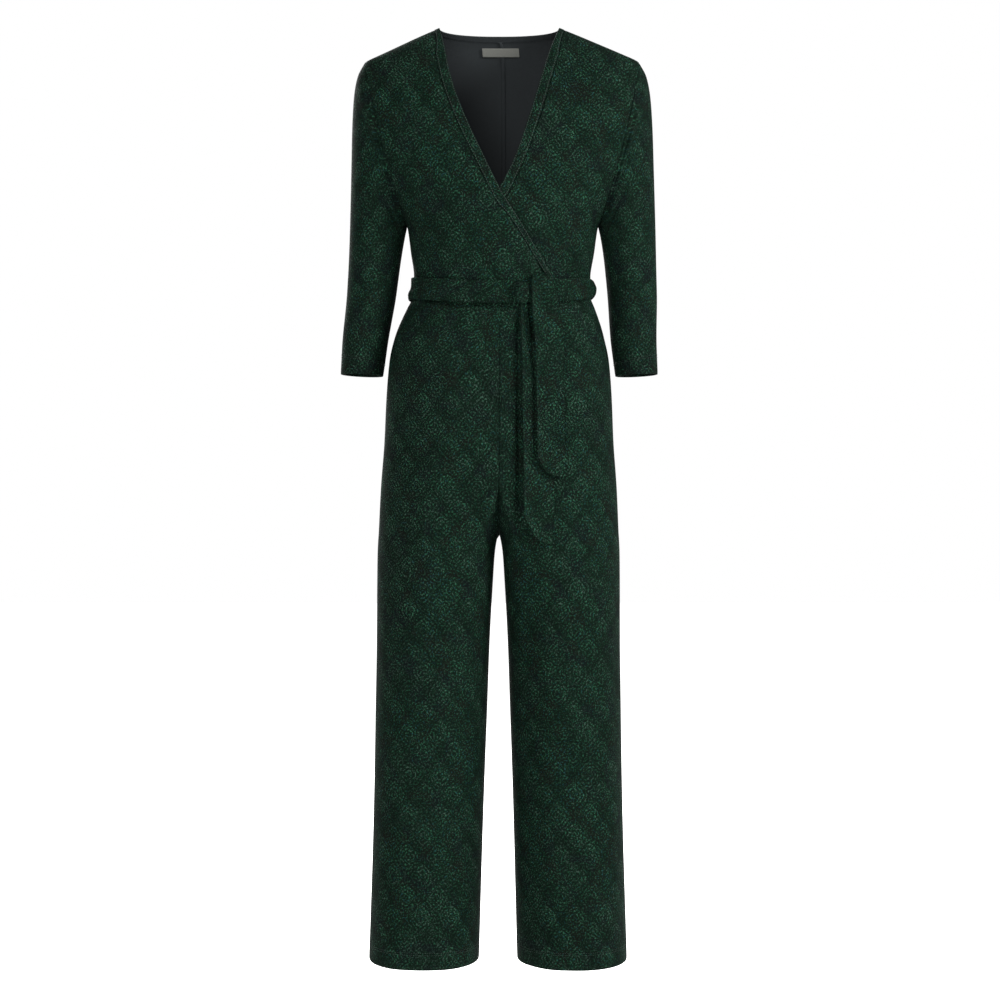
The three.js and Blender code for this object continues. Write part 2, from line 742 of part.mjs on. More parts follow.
export default jumpsuit;
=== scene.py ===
import logging
import math
from bisect import bisect_right
from collections.abc import Callable, Sequence
from dataclasses import dataclass, field
from enum import Enum
from typing import TypeAlias

import bmesh
import bpy
import numpy as np
from mathutils import Matrix, Vector


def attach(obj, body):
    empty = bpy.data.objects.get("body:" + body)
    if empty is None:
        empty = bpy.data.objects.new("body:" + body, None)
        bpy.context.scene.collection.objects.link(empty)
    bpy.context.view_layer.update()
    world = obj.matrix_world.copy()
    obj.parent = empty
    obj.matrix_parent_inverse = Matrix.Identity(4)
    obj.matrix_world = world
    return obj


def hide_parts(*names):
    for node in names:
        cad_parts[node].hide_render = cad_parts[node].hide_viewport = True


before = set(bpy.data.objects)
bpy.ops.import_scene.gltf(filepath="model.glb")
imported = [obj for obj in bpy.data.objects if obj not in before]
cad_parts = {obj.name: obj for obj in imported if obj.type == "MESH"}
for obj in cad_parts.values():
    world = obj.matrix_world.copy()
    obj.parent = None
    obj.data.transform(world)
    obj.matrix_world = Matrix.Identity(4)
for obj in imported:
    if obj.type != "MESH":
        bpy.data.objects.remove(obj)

log = logging.getLogger("jumpsuit")
BODY = "root"
MM = 0.001
# Millimetres: the cloth turned up at a hem, and the two rows of stitches above its edge
HEM_TURN = 26.0
HEM_ROWS = (21.5, 24.5)
# The share of an allowance that a piece has where its neighbour carries it
TRIMMED = 0.03
# How far from a seam the cloth rolls in, and how far its other movement is held back
SEAM_ROLL = 1.7
SEAM_HOLD = 8.0
# How far an allowance reaches past its seam, and how deep it lies there
ALLOWANCE = ((0.05, 1.3), (1.5, 1.6), (5.0, 1.7))
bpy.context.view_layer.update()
Surface = Callable[[float, float], Vector]


class Face(Enum):
    """The front or the back of the garment, as the sign of its Y."""

    FRONT = -1
    BACK = 1


class Side(Enum):
    """The wearer's right or left, as the sign of its X."""

    RIGHT = -1
    LEFT = 1


class Border(Enum):
    """One border of a grid of cloth. Its rows run from START to END and go from TOP to BOTTOM."""

    START = "start"
    END = "end"
    TOP = "top"
    BOTTOM = "bottom"

    @property
    def axis(self) -> int:
        """Axis of the grid that the border ends: 1 across and 0 down."""
        return int(self in (Border.START, Border.END))

    @property
    def last(self) -> bool:
        """Whether the border comes last on its axis."""
        return self in (Border.END, Border.BOTTOM)


class Lay(Enum):
    """What a piece's pattern is measured from: the body's middle, the arm's upper line, or a row's end."""

    ARC = "arc"
    ARM = "arm"
    ROW_START = "row_start"
    ROW_END = "row_end"


def clamp(value: float, low: float, high: float) -> float:
    """Keep a value between two limits."""
    return min(high, max(low, value))


def mix(a: float, b: float, share: float) -> float:
    """Go from a to b by a share."""
    return a + (b - a) * share


def ease(low: float, high: float, value: float) -> float:
    """Rise smoothly from 0 at low to 1 at high, as the value goes from one to the other."""
    share = clamp((value - low) / (high - low), 0.0, 1.0)
    return share * share * (3.0 - 2.0 * share)


def squared(value: float, power: float) -> float:
    """Raise a signed value to a power, which squares off an ellipse."""
    return math.copysign(abs(value) ** power, value)


class Curve:
    """A smooth monotone curve through one column of a table."""

    def __init__(self, rows: Sequence[tuple[float, ...]], column: int) -> None:
        """Read one column of a table whose first column is the place.

        Args:
            rows: The table's rows, in order of place.
            column: The column that the curve goes through.
        """
        ordered = sorted(rows, key=lambda row: row[0])
        self.places = [row[0] for row in ordered]
        self.values = [row[column] for row in ordered]
        steps = zip(self.places, self.places[1:], self.values, self.values[1:])
        slopes = [(d - c) / (b - a) for a, b, c, d in steps]
        self.tangents = [slopes[0]]
        for before, after in zip(slopes, slopes[1:]):
            flat = before * after <= 0
            self.tangents.append(0.0 if flat else 2 * before * after / (before + after))
        self.tangents.append(slopes[-1])

    def __call__(self, place: float) -> float:
        """Read the curve at a place.

        Args:
            place: Where to read it.

        Returns:
            The value there.
        """
        i = int(clamp(bisect_right(self.places, place) - 1, 0, len(self.places) - 2))
        step = self.places[i + 1] - self.places[i]
        t = clamp((place - self.places[i]) / step, 0.0, 1.0)
        t2, t3 = t * t, t * t * t
        return (
            (2 * t3 - 3 * t2 + 1) * self.values[i]
            + (t3 - 2 * t2 + t) * step * self.tangents[i]
            + (3 * t2 - 2 * t3) * self.values[i + 1]
            + (t3 - t2) * step * self.tangents[i + 1]
        )


@dataclass(frozen=True)
class Fold:
    """A soft trough along a line, in millimetres as seen from the front. A negative depth is a ridge."""

    face: Face
    x1: float
    z1: float
    x2: float
    z2: float
    wide: float
    deep: float
    open: bool = False

    def depth_at(self, x: float, z: float) -> float:
        """Give the fold's depth at a place.

        Args:
            x: The place's distance from the middle.
            z: The place's height.

        Returns:
            The depth there, in millimetres.
        """
        run_x, run_z = self.x2 - self.x1, self.z2 - self.z1
        length = math.hypot(run_x, run_z)
        share = ((x - self.x1) * run_x + (z - self.z1) * run_z) / (length * length)
        if not -0.2 < share < 1.2 and not self.open:
            return 0.0
        off = ((x - self.x1) * run_z - (z - self.z1) * run_x) / length
        end = 1.0 if self.open else 1.0 - ease(0.7, 1.15, share)
        return self.deep * ease(-0.15, 0.25, share) * end * math.exp(-((off / self.wide) ** 2))

    def depths_on(self, x: np.ndarray, z: np.ndarray) -> np.ndarray:
        """Give the fold's depth at each place of a grid, faded at both its ends.

        Args:
            x: The places' distances from the middle.
            z: The places' heights.

        Returns:
            The depths there, in millimetres.
        """
        run_x, run_z = self.x2 - self.x1, self.z2 - self.z1
        length = math.hypot(run_x, run_z)
        share = ((x - self.x1) * run_x + (z - self.z1) * run_z) / (length * length)
        off = ((x - self.x1) * run_z - (z - self.z1) * run_x) / length
        start = np.clip((share + 0.15) / 0.4, 0, 1)
        end = np.ones_like(share) if self.open else np.clip((1.15 - share) / 0.45, 0, 1)
        fade = start * start * (3 - 2 * start) * end * end * (3 - 2 * end)
        return self.deep * fade * np.exp(-((off / self.wide) ** 2))


@dataclass(frozen=True)
class Form:
    """The worn form of the garment, in millimetres: what every piece is cut to."""

    wall: float = 1.6
    seam_gap: float = 0.3
    band_width: float = 9.0
    band_wall: float = 2.1
    layer_gap: float = 0.5
    shoulder_z: float = -52.0
    armpit_z: float = -300.0
    waist_z: float = -397.0
    crotch_curve_z: float = -650.0
    crotch_z: float = -757.0
    hem_z: float = -1392.0
    hem_front_drop: float = 3.0
    armhole_top: float = 205.0
    armhole_low: float = 143.0
    armhole_bow: float = 5.0
    armhole_depth: dict[Face, float] = field(default_factory=lambda: {Face.FRONT: 62.0, Face.BACK: 67.0})
    neck_half: float = 90.0
    armpit_share: float = 5 / 17
    body_square: float = 2.3
    leg_square: float = 2.2
    crotch_square: float = 3.4
    seam_path: float = 0.38
    # z, half width, depth in front, depth behind
    body_rows: tuple[tuple[float, ...], ...] = (
        (0, 90, 24, 62),
        (-18, 129.8, 42, 74),
        (-52, 205, 66, 87),
        (-93, 196, 83, 97),
        (-138, 187, 96, 103),
        (-190, 177, 107, 106),
        (-240, 164, 114, 104),
        (-300, 143, 111, 98),
        (-340, 137.5, 103, 92),
        (-372, 133, 96, 89),
        (-402, 134, 95, 92),
        (-420, 141, 98, 97),
        (-440, 149, 101, 102),
        (-460, 156, 104, 107),
        (-500, 165, 107, 114),
        (-558, 169.5, 110, 121),
        (-620, 172, 111, 123),
        (-690, 177, 109, 121),
        (-757, 180, 107, 116),
    )
    # z, inner reach, outer reach, depth in front, depth behind
    leg_rows: tuple[tuple[float, ...], ...] = (
        (-757, 0.4, 180, 107, 116),
        (-783, 5, 181.5, 105, 113),
        (-828, 8, 182, 102, 109),
        (-918, 12.7, 182.5, 98, 103),
        (-1008, 15.7, 184, 95, 99),
        (-1188, 21.7, 187.5, 92, 95),
        (-1392, 27.7, 193.5, 92, 94),
    )
    # z, sideways lean
    lean_rows: tuple[tuple[float, ...], ...] = (
        (0, -1),
        (-52, 3),
        (-300, 4),
        (-395, 3),
        (-480, -1),
        (-1392, -3),
    )
    # z, x of the over front's free edge
    over_edge: tuple[tuple[float, ...], ...] = (
        (0, -91),
        (-23, -84.7),
        (-85, -72),
        (-127, -58.4),
        (-166, -42.2),
        (-204, -24.7),
        (-250, -2.5),
        (-310, 34),
        (-370, 70),
        (-397, 86),
    )
    # z, x of the under front's free edge
    under_edge: tuple[tuple[float, ...], ...] = (
        (0, 89),
        (-48, 71.5),
        (-94, 58),
        (-130, 47.5),
        (-163, 37),
        (-196, 26),
        (-226, 13.5),
        (-250, 1),
        (-310, -34),
        (-370, -68),
        (-397, -84),
    )
    # The solids' own folds
    folds: tuple[Fold, ...] = (
        Fold(Face.FRONT, 47, -800, 55, -1392, 17, 5, True),
        Fold(Face.FRONT, -120, -820, -128, -1392, 20, 3, True),
        Fold(Face.BACK, -62, -790, -70, -1392, 20, 5, True),
        Fold(Face.BACK, 98, -800, 104, -1392, 20, 4, True),
        Fold(Face.BACK, 60, -310, 40, -392, 14, 4, True),
        Fold(Face.BACK, -58, -305, -44, -392, 14, 4, True),
        Fold(Face.BACK, 30, -690, 96, -760, 16, 4),
        Fold(Face.BACK, -30, -695, -98, -765, 16, 4),
        Fold(Face.FRONT, -24, -720, -74, -765, 15, 3),
        Fold(Face.FRONT, 24, -722, 70, -768, 15, 3),
        Fold(Face.FRONT, 128, -268, 84, -236, 12, 3),
        Fold(Face.FRONT, -128, -268, -84, -240, 12, 3),
    )

    def __post_init__(self) -> None:
        """Make the curves through the tables."""
        curves = {
            "side": Curve(self.body_rows, 1),
            (Face.FRONT, "body"): Curve(self.body_rows, 2),
            (Face.BACK, "body"): Curve(self.body_rows, 3),
            "inner": Curve(self.leg_rows, 1),
            "outer": Curve(self.leg_rows, 2),
            (Face.FRONT, "leg"): Curve(self.leg_rows, 3),
            (Face.BACK, "leg"): Curve(self.leg_rows, 4),
            "lean": Curve(self.lean_rows, 1),
            Side.RIGHT: Curve(self.over_edge, 1),
            Side.LEFT: Curve(self.under_edge, 1),
        }
        object.__setattr__(self, "curves", curves)

    @property
    def armhole_tilt(self) -> float:
        """How far the armhole leans outwards for each millimetre up."""
        return (self.armhole_top - self.armhole_low) / (self.shoulder_z - self.armpit_z)

    @property
    def armhole_way(self) -> np.ndarray:
        """Direction across the armhole on the wearer's left, out of the bodice."""
        return np.array((1.0, 0.0, -self.armhole_tilt)) / math.hypot(1.0, self.armhole_tilt)

    @property
    def armhole_middle(self) -> float:
        """Height of the armhole's middle."""
        return (self.shoulder_z + self.armpit_z) / 2

    @property
    def armhole_half(self) -> float:
        """Half the armhole's height."""
        return (self.shoulder_z - self.armpit_z) / 2

    def panel_height(self, v: float) -> float:
        """Give the height of a bodice panel's outer border, from the shoulder to the waist.

        Args:
            v: 0 at the shoulder and 1 at the waist.

        Returns:
            The height there.
        """
        up = 1 - v
        if up <= self.armpit_share:
            return mix(self.waist_z + self.seam_gap / 2, self.armpit_z, up / self.armpit_share)
        share = (up - self.armpit_share) / (1 - self.armpit_share)
        return self.armhole_middle - self.armhole_half * math.cos(math.pi * share)

    def lean(self, z: float) -> float:
        """Give the garment's sideways lean at a height."""
        return self.curves["lean"](clamp(z, self.hem_z, 0.0))

    def armhole_share(self, z: float) -> float:
        """Give 1 at the shoulder point and -1 at the armpit."""
        return clamp((z - self.armhole_middle) / self.armhole_half, -1.0, 1.0)

    def side_reach(self, z: float) -> float:
        """Give a bodice panel's half width: shoulder seam, armhole, then side seam.

        Args:
            z: The height.

        Returns:
            The half width there.
        """
        if z >= self.shoulder_z:
            return mix(self.armhole_top, self.neck_half, (z - self.shoulder_z) / -self.shoulder_z)
        if z <= self.armpit_z:
            return self.curves["side"](z)
        share = self.armhole_share(z)
        reach = mix(self.armhole_low, self.armhole_top, (share + 1) / 2)
        return reach + self.armhole_bow * (1 - share * share)

    def edge_depth(self, z: float, face: Face) -> float:
        """Give the depth of a panel's edge at the armhole, and nothing at a seam.

        Args:
            z: The height.
            face: The front or the back.

        Returns:
            The edge's distance from the side seam's plane.
        """
        if z >= self.shoulder_z or z <= self.armpit_z:
            return 0.0
        share = self.armhole_share(z)
        return self.armhole_depth[face] * math.sqrt(1 - share * share)

    def fold_depth(self, x: float, z: float, face: Face) -> float:
        """Add up the folds at a place.

        Args:
            x: The place's distance from the middle.
            z: The place's height.
            face: The front or the back.

        Returns:
            The depth of the cloth below its plain form.
        """
        return sum(fold.depth_at(x, z) for fold in self.folds if fold.face is face)

    def body_point(self, turn: float, z: float, face: Face, out: float = 0.0) -> Vector:
        """Give a point of the body above the crotch.

        Args:
            turn: 0 at the middle of the face, and plus or minus a quarter turn at the sides.
            z: The height.
            face: The front or the back.
            out: How far off the cloth the point lies.

        Returns:
            The point, before the lean.
        """
        depth = self.curves[(face, "body")](z)
        edge = clamp(self.edge_depth(z, face) / depth, 0.0, 0.98)
        sine = clamp(math.sin(turn), -1.0, 1.0)
        x = self.side_reach(z) * squared(sine, 2 / self.body_square)
        keep = 1 - edge**self.body_square
        y = depth * max(0.0, 1 - keep * sine * sine) ** (1 / self.body_square)
        fold = self.fold_depth(x, z, face) * math.cos(turn)
        place = Vector((x, face.value * (y - fold + self.seam_gap / 2), z))
        return place + self.body_normal(turn, z, face) * out if out else place

    def body_normal(self, turn: float, z: float, face: Face) -> Vector:
        """Give the direction out of the body at a point.

        Args:
            turn: The turn from the middle of the face.
            z: The height.
            face: The front or the back.

        Returns:
            The direction, of length 1.
        """
        small = 0.01
        across = self.body_point(turn + small, z, face) - self.body_point(turn - small, z, face)
        up = self.body_point(turn, z + 1, face) - self.body_point(turn, z - 1, face)
        normal = across.cross(up).normalized()
        return -normal if normal.y * face.value < 0 else normal

    def turn_at(self, x: float, z: float) -> float:
        """Give the turn at which the body is a distance from the middle."""
        share = clamp(x / self.side_reach(z), -1.0, 1.0)
        return math.asin(squared(share, self.body_square / 2))

    def arc(self, x: float, z: float, face: Face) -> float:
        """Give the distance from the middle to a place, round the body.

        Args:
            x: The place's distance from the middle, straight across.
            z: The height.
            face: The front or the back.

        Returns:
            The distance along the cloth, with the sign of x.
        """
        depth, reach = self.curves[(face, "body")](z), self.side_reach(z)
        keep = 1 - clamp(self.edge_depth(z, face) / depth, 0.0, 0.98) ** self.body_square
        sines = np.sin(np.linspace(0, abs(self.turn_at(x, z)), 12))
        across = reach * sines ** (2 / self.body_square)
        deep = depth * np.maximum(0, 1 - keep * sines * sines) ** (1 / self.body_square)
        length = float(np.hypot(np.diff(across), np.diff(deep)).sum())
        return math.copysign(length, x)

    def front_at(self, x: float, z: float, out: float) -> Vector:
        """Give the point of the front, moved off it, that lies at a place in the front view."""
        return self.body_point(self.turn_at(x - self.lean(z), z), z, Face.FRONT, out)

    def leg_sizes(self, z: float, face: Face) -> tuple[float, float, float]:
        """Give the inner reach, the outer reach and the depth of half a body or a leg.

        Args:
            z: The height.
            face: The front or the back.

        Returns:
            The two distances from the middle, and the depth.
        """
        inner = self.curves["inner"](min(z, self.crotch_z))
        if z > self.crotch_z:
            return inner, self.side_reach(z), self.curves[(face, "body")](z)
        return inner, self.curves["outer"](z), self.curves[(face, "leg")](z)

    def leg_section(self, path: float, z: float, face: Face) -> tuple[float, float]:
        """Give a point of one half-section.

        Args:
            path: 0 at the inseam, seam_path at the middle seam above the crotch, 1 at the side.
            z: The height.
            face: The front or the back.

        Returns:
            The distances from the middle and from the side seam's plane.
        """
        inner, outer, depth = self.leg_sizes(z, face)
        turn = clamp((path - self.seam_path) / (1 - self.seam_path), 0.0, 1.0) * math.pi / 2
        half_x = inner + (outer - inner) * squared(math.sin(turn), 2 / self.body_square)
        rise = clamp(path / self.seam_path, 0.0, 1.0)
        falling = max(0.0, math.cos(turn)) ** (2 / self.body_square)
        half_y = depth * (rise if path < self.seam_path else falling)
        angle = path * math.pi
        square = self.leg_square
        if path < 0.5:
            square = mix(self.leg_square, self.crotch_square, ease(-930, self.crotch_z, z))
        ring_x = (inner + outer) / 2 - (outer - inner) / 2 * squared(math.cos(angle), 2 / square)
        ring_y = depth * max(0.0, math.sin(angle)) ** (2 / square)
        rounded = 1 - ease(self.crotch_z - 75, self.crotch_curve_z + 20, z)
        return mix(half_x, ring_x, rounded), mix(half_y, ring_y, rounded)


FORM = Form()


@dataclass(frozen=True)
class FrontCut:
    """The cut of one front of the wrap and of its neck band."""

    side: Side
    form: Form = FORM

    def __post_init__(self) -> None:
        """Work out the share of each row that the neck band takes."""
        rows = [(v / 60, *self.band_share(v / 60)) for v in range(61)]
        object.__setattr__(self, "band", Curve(rows, 1))
        object.__setattr__(self, "gap", Curve(rows, 2))

    def edge_height(self, v: float) -> float:
        """Give the height of the free edge, from the shoulder down to the waist.

        Args:
            v: 0 at the shoulder and 1 at the waist.

        Returns:
            The height there.
        """
        form, up = self.form, 1 - v
        if up <= form.armpit_share:
            return form.panel_height(v)
        return mix(form.armpit_z, 0.0, (up - form.armpit_share) / (1 - form.armpit_share))

    def sunk(self, x: float, z: float) -> float:
        """Give how far the under front sinks beneath the over front.

        Args:
            x: The distance from the middle, as seen from the front.
            z: The height.

        Returns:
            The depth, in millimetres.
        """
        cover = self.form.curves[Side.RIGHT](z) - x
        depth = self.form.band_wall + self.form.layer_gap
        return depth * ease(-75, -22, cover) * (1 - ease(-160, -60, z))

    def point(self, across: float, v: float) -> Vector:
        """Give a point from the free edge to the side seam or armhole.

        Args:
            across: 0 at the free edge and 1 at the outer border.
            v: 0 at the shoulder and 1 at the waist.

        Returns:
            The point, before the lean.
        """
        form, sign = self.form, self.side.value
        edge_z = self.edge_height(v)
        edge_turn = sign * math.pi / 2
        if v > 0:
            edge_turn = form.turn_at(form.curves[self.side](edge_z) - form.lean(edge_z), edge_z)
        turn = mix(edge_turn, sign * math.pi / 2, across)
        z = mix(edge_z, form.panel_height(v), across)
        place = form.body_point(turn, z, Face.FRONT)
        if self.side is Side.LEFT:
            depth = self.sunk(place.x + form.lean(z), z)
            if depth > 0.01:
                place -= form.body_normal(turn, z, Face.FRONT) * depth
        return place

    def band_share(self, v: float) -> tuple[float, float]:
        """Give the shares of a row that the neck band and the seam beside it take.

        Args:
            v: 0 at the shoulder and 1 at the waist.

        Returns:
            The band's share and the seam's.
        """
        places = [self.point(i / 16, v) for i in range(17)]
        length = sum((b - a).length for a, b in zip(places, places[1:]))
        return self.form.band_width / length, self.form.seam_gap / length

    def panel(self, u: float, v: float) -> Vector:
        """Give a point of the front itself."""
        return self.point(mix(self.band(v) + self.gap(v), 1.0, u), v)

    def neck_band(self, u: float, v: float) -> Vector:
        """Give a point of the front's neck band."""
        return self.point(u * self.band(v), v)


@dataclass(frozen=True)
class BackCut:
    """The cut of one half of the back, and of the back neck band."""

    side: Side
    form: Form = FORM
    neck_share: float = 0.5

    def band_drop(self, turn: float) -> float:
        """Give the depth of the neck band, which is less on the shoulder's slope."""
        return mix(7.6, 3.6, math.sin(turn) ** 2)

    def point(self, across: float, v: float) -> Vector:
        """Give a point from the centre seam and neck edge to the side seam and armhole.

        Args:
            across: 0 at the centre or the neck and 1 at the outer border.
            v: 0 at the shoulder and 1 at the waist.

        Returns:
            The point, before the lean.
        """
        form = self.form
        side_z = form.panel_height(v)
        share = clamp((1 - v - form.armpit_share) / (1 - form.armpit_share), 0.0, 1.0)
        rounded = clamp((share - self.neck_share) / (1 - self.neck_share), 0.0, 1.0)
        start = rounded * math.pi / 2
        neck_z = -self.band_drop(start) - form.seam_gap
        rise = 1 - (1 - clamp(share / self.neck_share, 0.0, 1.0)) ** 1.6
        z = side_z if share == 0 else mix(mix(form.armpit_z, neck_z, rise), side_z, across)
        place = form.body_point(mix(start, math.pi / 2, across), z, Face.BACK)
        place.x = (place.x + form.seam_gap / 2) * self.side.value
        return place

    def neck_band(self, u: float, v: float) -> Vector:
        """Give a point of the back neck band."""
        turn = mix(-math.pi / 2, math.pi / 2, u)
        return self.form.body_point(turn, -self.band_drop(turn) * v, Face.BACK)


@dataclass(frozen=True)
class SleeveCut:
    """The cut of one sleeve, with its own soft folds."""

    side: Side
    form: Form = FORM
    # share down the sleeve, upper edge x and z, lower edge x and z, half depth, middle y
    rows: tuple[tuple[float, ...], ...] = (
        (0 / 9, 205, -52, 143, -300, 64, 2),
        (1 / 9, 216.5, -74, 144.6, -307, 62, 2),
        (2 / 9, 222.5, -106, 146.5, -316, 59, 3),
        (3 / 9, 225.5, -155, 149, -330, 56.5, 4),
        (4 / 9, 227, -215, 152, -350, 54, 5),
        (5 / 9, 229, -285, 155.5, -378, 51.5, 7),
        (6 / 9, 231, -348, 159.5, -412, 49.5, 9),
        (7 / 9, 233.5, -408, 164, -448, 47.5, 11),
        (8 / 9, 236, -464, 169, -486, 45.5, 13),
        (9 / 9, 238.5, -518, 174, -521, 44, 15),
    )
    # Each crease: share round at its middle, share down there, how far it leans, reach round and
    # down, depth. A quarter round is the back, a half the underarm and three quarters the front.
    creases: tuple[tuple[float, ...], ...] = (
        (0.68, 0.060, 0.0, 0.17, 0.035, 5.5),
        (0.63, 0.115, 0.3, 0.10, 0.040, 4.0),
        (0.72, 0.18, 0.5, 0.16, 0.030, 2.4),
        (0.62, 0.27, 0.7, 0.14, 0.028, 1.8),
        (0.80, 0.47, -0.5, 0.15, 0.026, 2.0),
        (0.68, 0.55, 0.4, 0.17, 0.024, 2.4),
        (0.76, 0.63, -0.3, 0.13, 0.022, 1.6),
        (0.64, 0.72, 0.5, 0.12, 0.022, 1.5),
        (0.84, 0.80, 0.3, 0.12, 0.024, 1.2),
        (0.30, 0.20, -0.4, 0.16, 0.032, 2.2),
        (0.22, 0.52, 0.5, 0.18, 0.026, 2.4),
        (0.34, 0.60, -0.4, 0.14, 0.024, 1.8),
        (0.26, 0.76, 0.3, 0.13, 0.024, 1.4),
    )

    def __post_init__(self) -> None:
        """Make the curves through the table."""
        object.__setattr__(self, "curves", [Curve(self.rows, column) for column in range(1, 7)])

    def dent(self, u: float, v: float) -> float:
        """Give the depth of the creases at a place round and down the sleeve.

        Args:
            u: The share round the sleeve.
            v: The share down it.

        Returns:
            The depth, in millimetres.
        """
        depth = 0.0
        for round_at, down_at, slope, reach, wide, deep in self.creases:
            off = (u - round_at + 0.5) % 1.0 - 0.5
            across = v - down_at - slope * off * 0.35 * (1 + 0.6 * off)
            depth += deep * math.exp(-((off / reach) ** 2) - (across / wide) ** 2)
        return depth

    def point(self, u: float, v: float) -> Vector:
        """Give a point of the sleeve.

        Args:
            u: The share round, from the sleeve's upper line by way of its back.
            v: 0 at the armhole and 1 at the cuff.

        Returns:
            The point, before the lean.
        """
        top_x, top_z, low_x, low_z, depth, middle = (curve(v) for curve in self.curves)
        form, share, out = self.form, math.cos(u * math.tau), math.sin(u * math.tau)
        start = form.armhole_bow * (1 - share * share) * (1 - ease(0, 0.25, v))
        edge = form.armhole_depth[Face.FRONT if out < 0 else Face.BACK]
        depth = mix(edge, depth, ease(0, 0.15, v)) - self.dent(u, v) * ease(0, 0.08, v)
        middle = mix(0.0, middle, ease(0, 0.3, v))
        gap = form.seam_gap * 1.2
        x = mix(low_x, top_x, (share + 1) / 2) + start + gap
        z = mix(low_z, top_z, (share + 1) / 2) - gap * form.armhole_tilt
        return Vector((self.side.value * x, middle + depth * out, z))


@dataclass(frozen=True)
class LegCut:
    """The cut of the front or back of one leg, from the waist to the hem."""

    side: Side
    face: Face
    form: Form = FORM
    waist_rows: int = 7
    curve_rows: int = 5
    low_rows: int = 9

    @property
    def rows(self) -> int:
        """All the rows from the waist to the hem."""
        return self.waist_rows + self.curve_rows + self.low_rows

    def level(self, v: float) -> tuple[float, float]:
        """Give a row's height, and how far the crotch curve has turned there.

        Args:
            v: 0 at the waist and 1 at the hem.

        Returns:
            The height, and 0 above the curve to 1 below it.
        """
        form, row = self.form, v * self.rows
        if row <= self.waist_rows:
            share = (row / self.waist_rows) ** 1.5
            return mix(form.waist_z - form.seam_gap / 2, form.crotch_curve_z, share), 0.0
        into = row - self.waist_rows
        if into <= self.curve_rows:
            quarter = into / self.curve_rows * math.pi / 2
            return mix(form.crotch_curve_z, form.crotch_z, math.sin(quarter)), 1 - math.cos(quarter)
        return mix(form.crotch_z, form.hem_z, (into - self.curve_rows) / self.low_rows), 1.0

    def point(self, u: float, v: float) -> Vector:
        """Give a point from the middle seam or inseam to the side seam.

        Args:
            u: 0 at the middle seam or inseam and 1 at the side seam.
            v: 0 at the waist and 1 at the hem.

        Returns:
            The point, before the lean.
        """
        form, (z, turned) = self.form, self.level(v)
        start = form.seam_path * (1 - turned)
        path = mix(start, 1.0, u)
        x, y = form.leg_section(path, z, self.face)
        if turned < 1:
            x -= form.leg_section(start, z, self.face)[0] * (1 - u) ** 2
        facing = math.sin(path * math.pi) ** 2
        sign = self.side.value
        x = sign * (x + form.seam_gap / 2)
        y += form.seam_gap / 2 - form.fold_depth(x, z, self.face) * facing
        drop = 0.0
        if self.face is Face.FRONT:
            drop = form.hem_front_drop * math.sin(u * math.pi) * ease(-1200, form.hem_z, z)
        return Vector((x, self.face.value * y, z - drop))


def spread(count: int, start: float = 0.0, end: float = 0.0, length: float = 200.0) -> np.ndarray:
    """Give the shares of a grid's rows or columns, with close ones by its borders.

    Args:
        count: How many even spans there are.
        start: 1 to put close lines by the start, 0 for none.
        end: 1 to put close lines by the end, 0 for none.
        length: The length that the shares divide, in millimetres.

    Returns:
        The shares from 0 to 1.
    """
    near, clear = np.array([1.1, 2.6, 4.6]) / length, 6.5 / length
    shares = set(np.linspace(0, 1, count + 1))
    crowded = {s for s in shares if (start and 0 < s < clear) or (end and 1 > s > 1 - clear)}
    kept = shares - crowded
    kept |= set(near) if start else set()
    kept |= set(1 - near) if end else set()
    return np.array(sorted(kept))


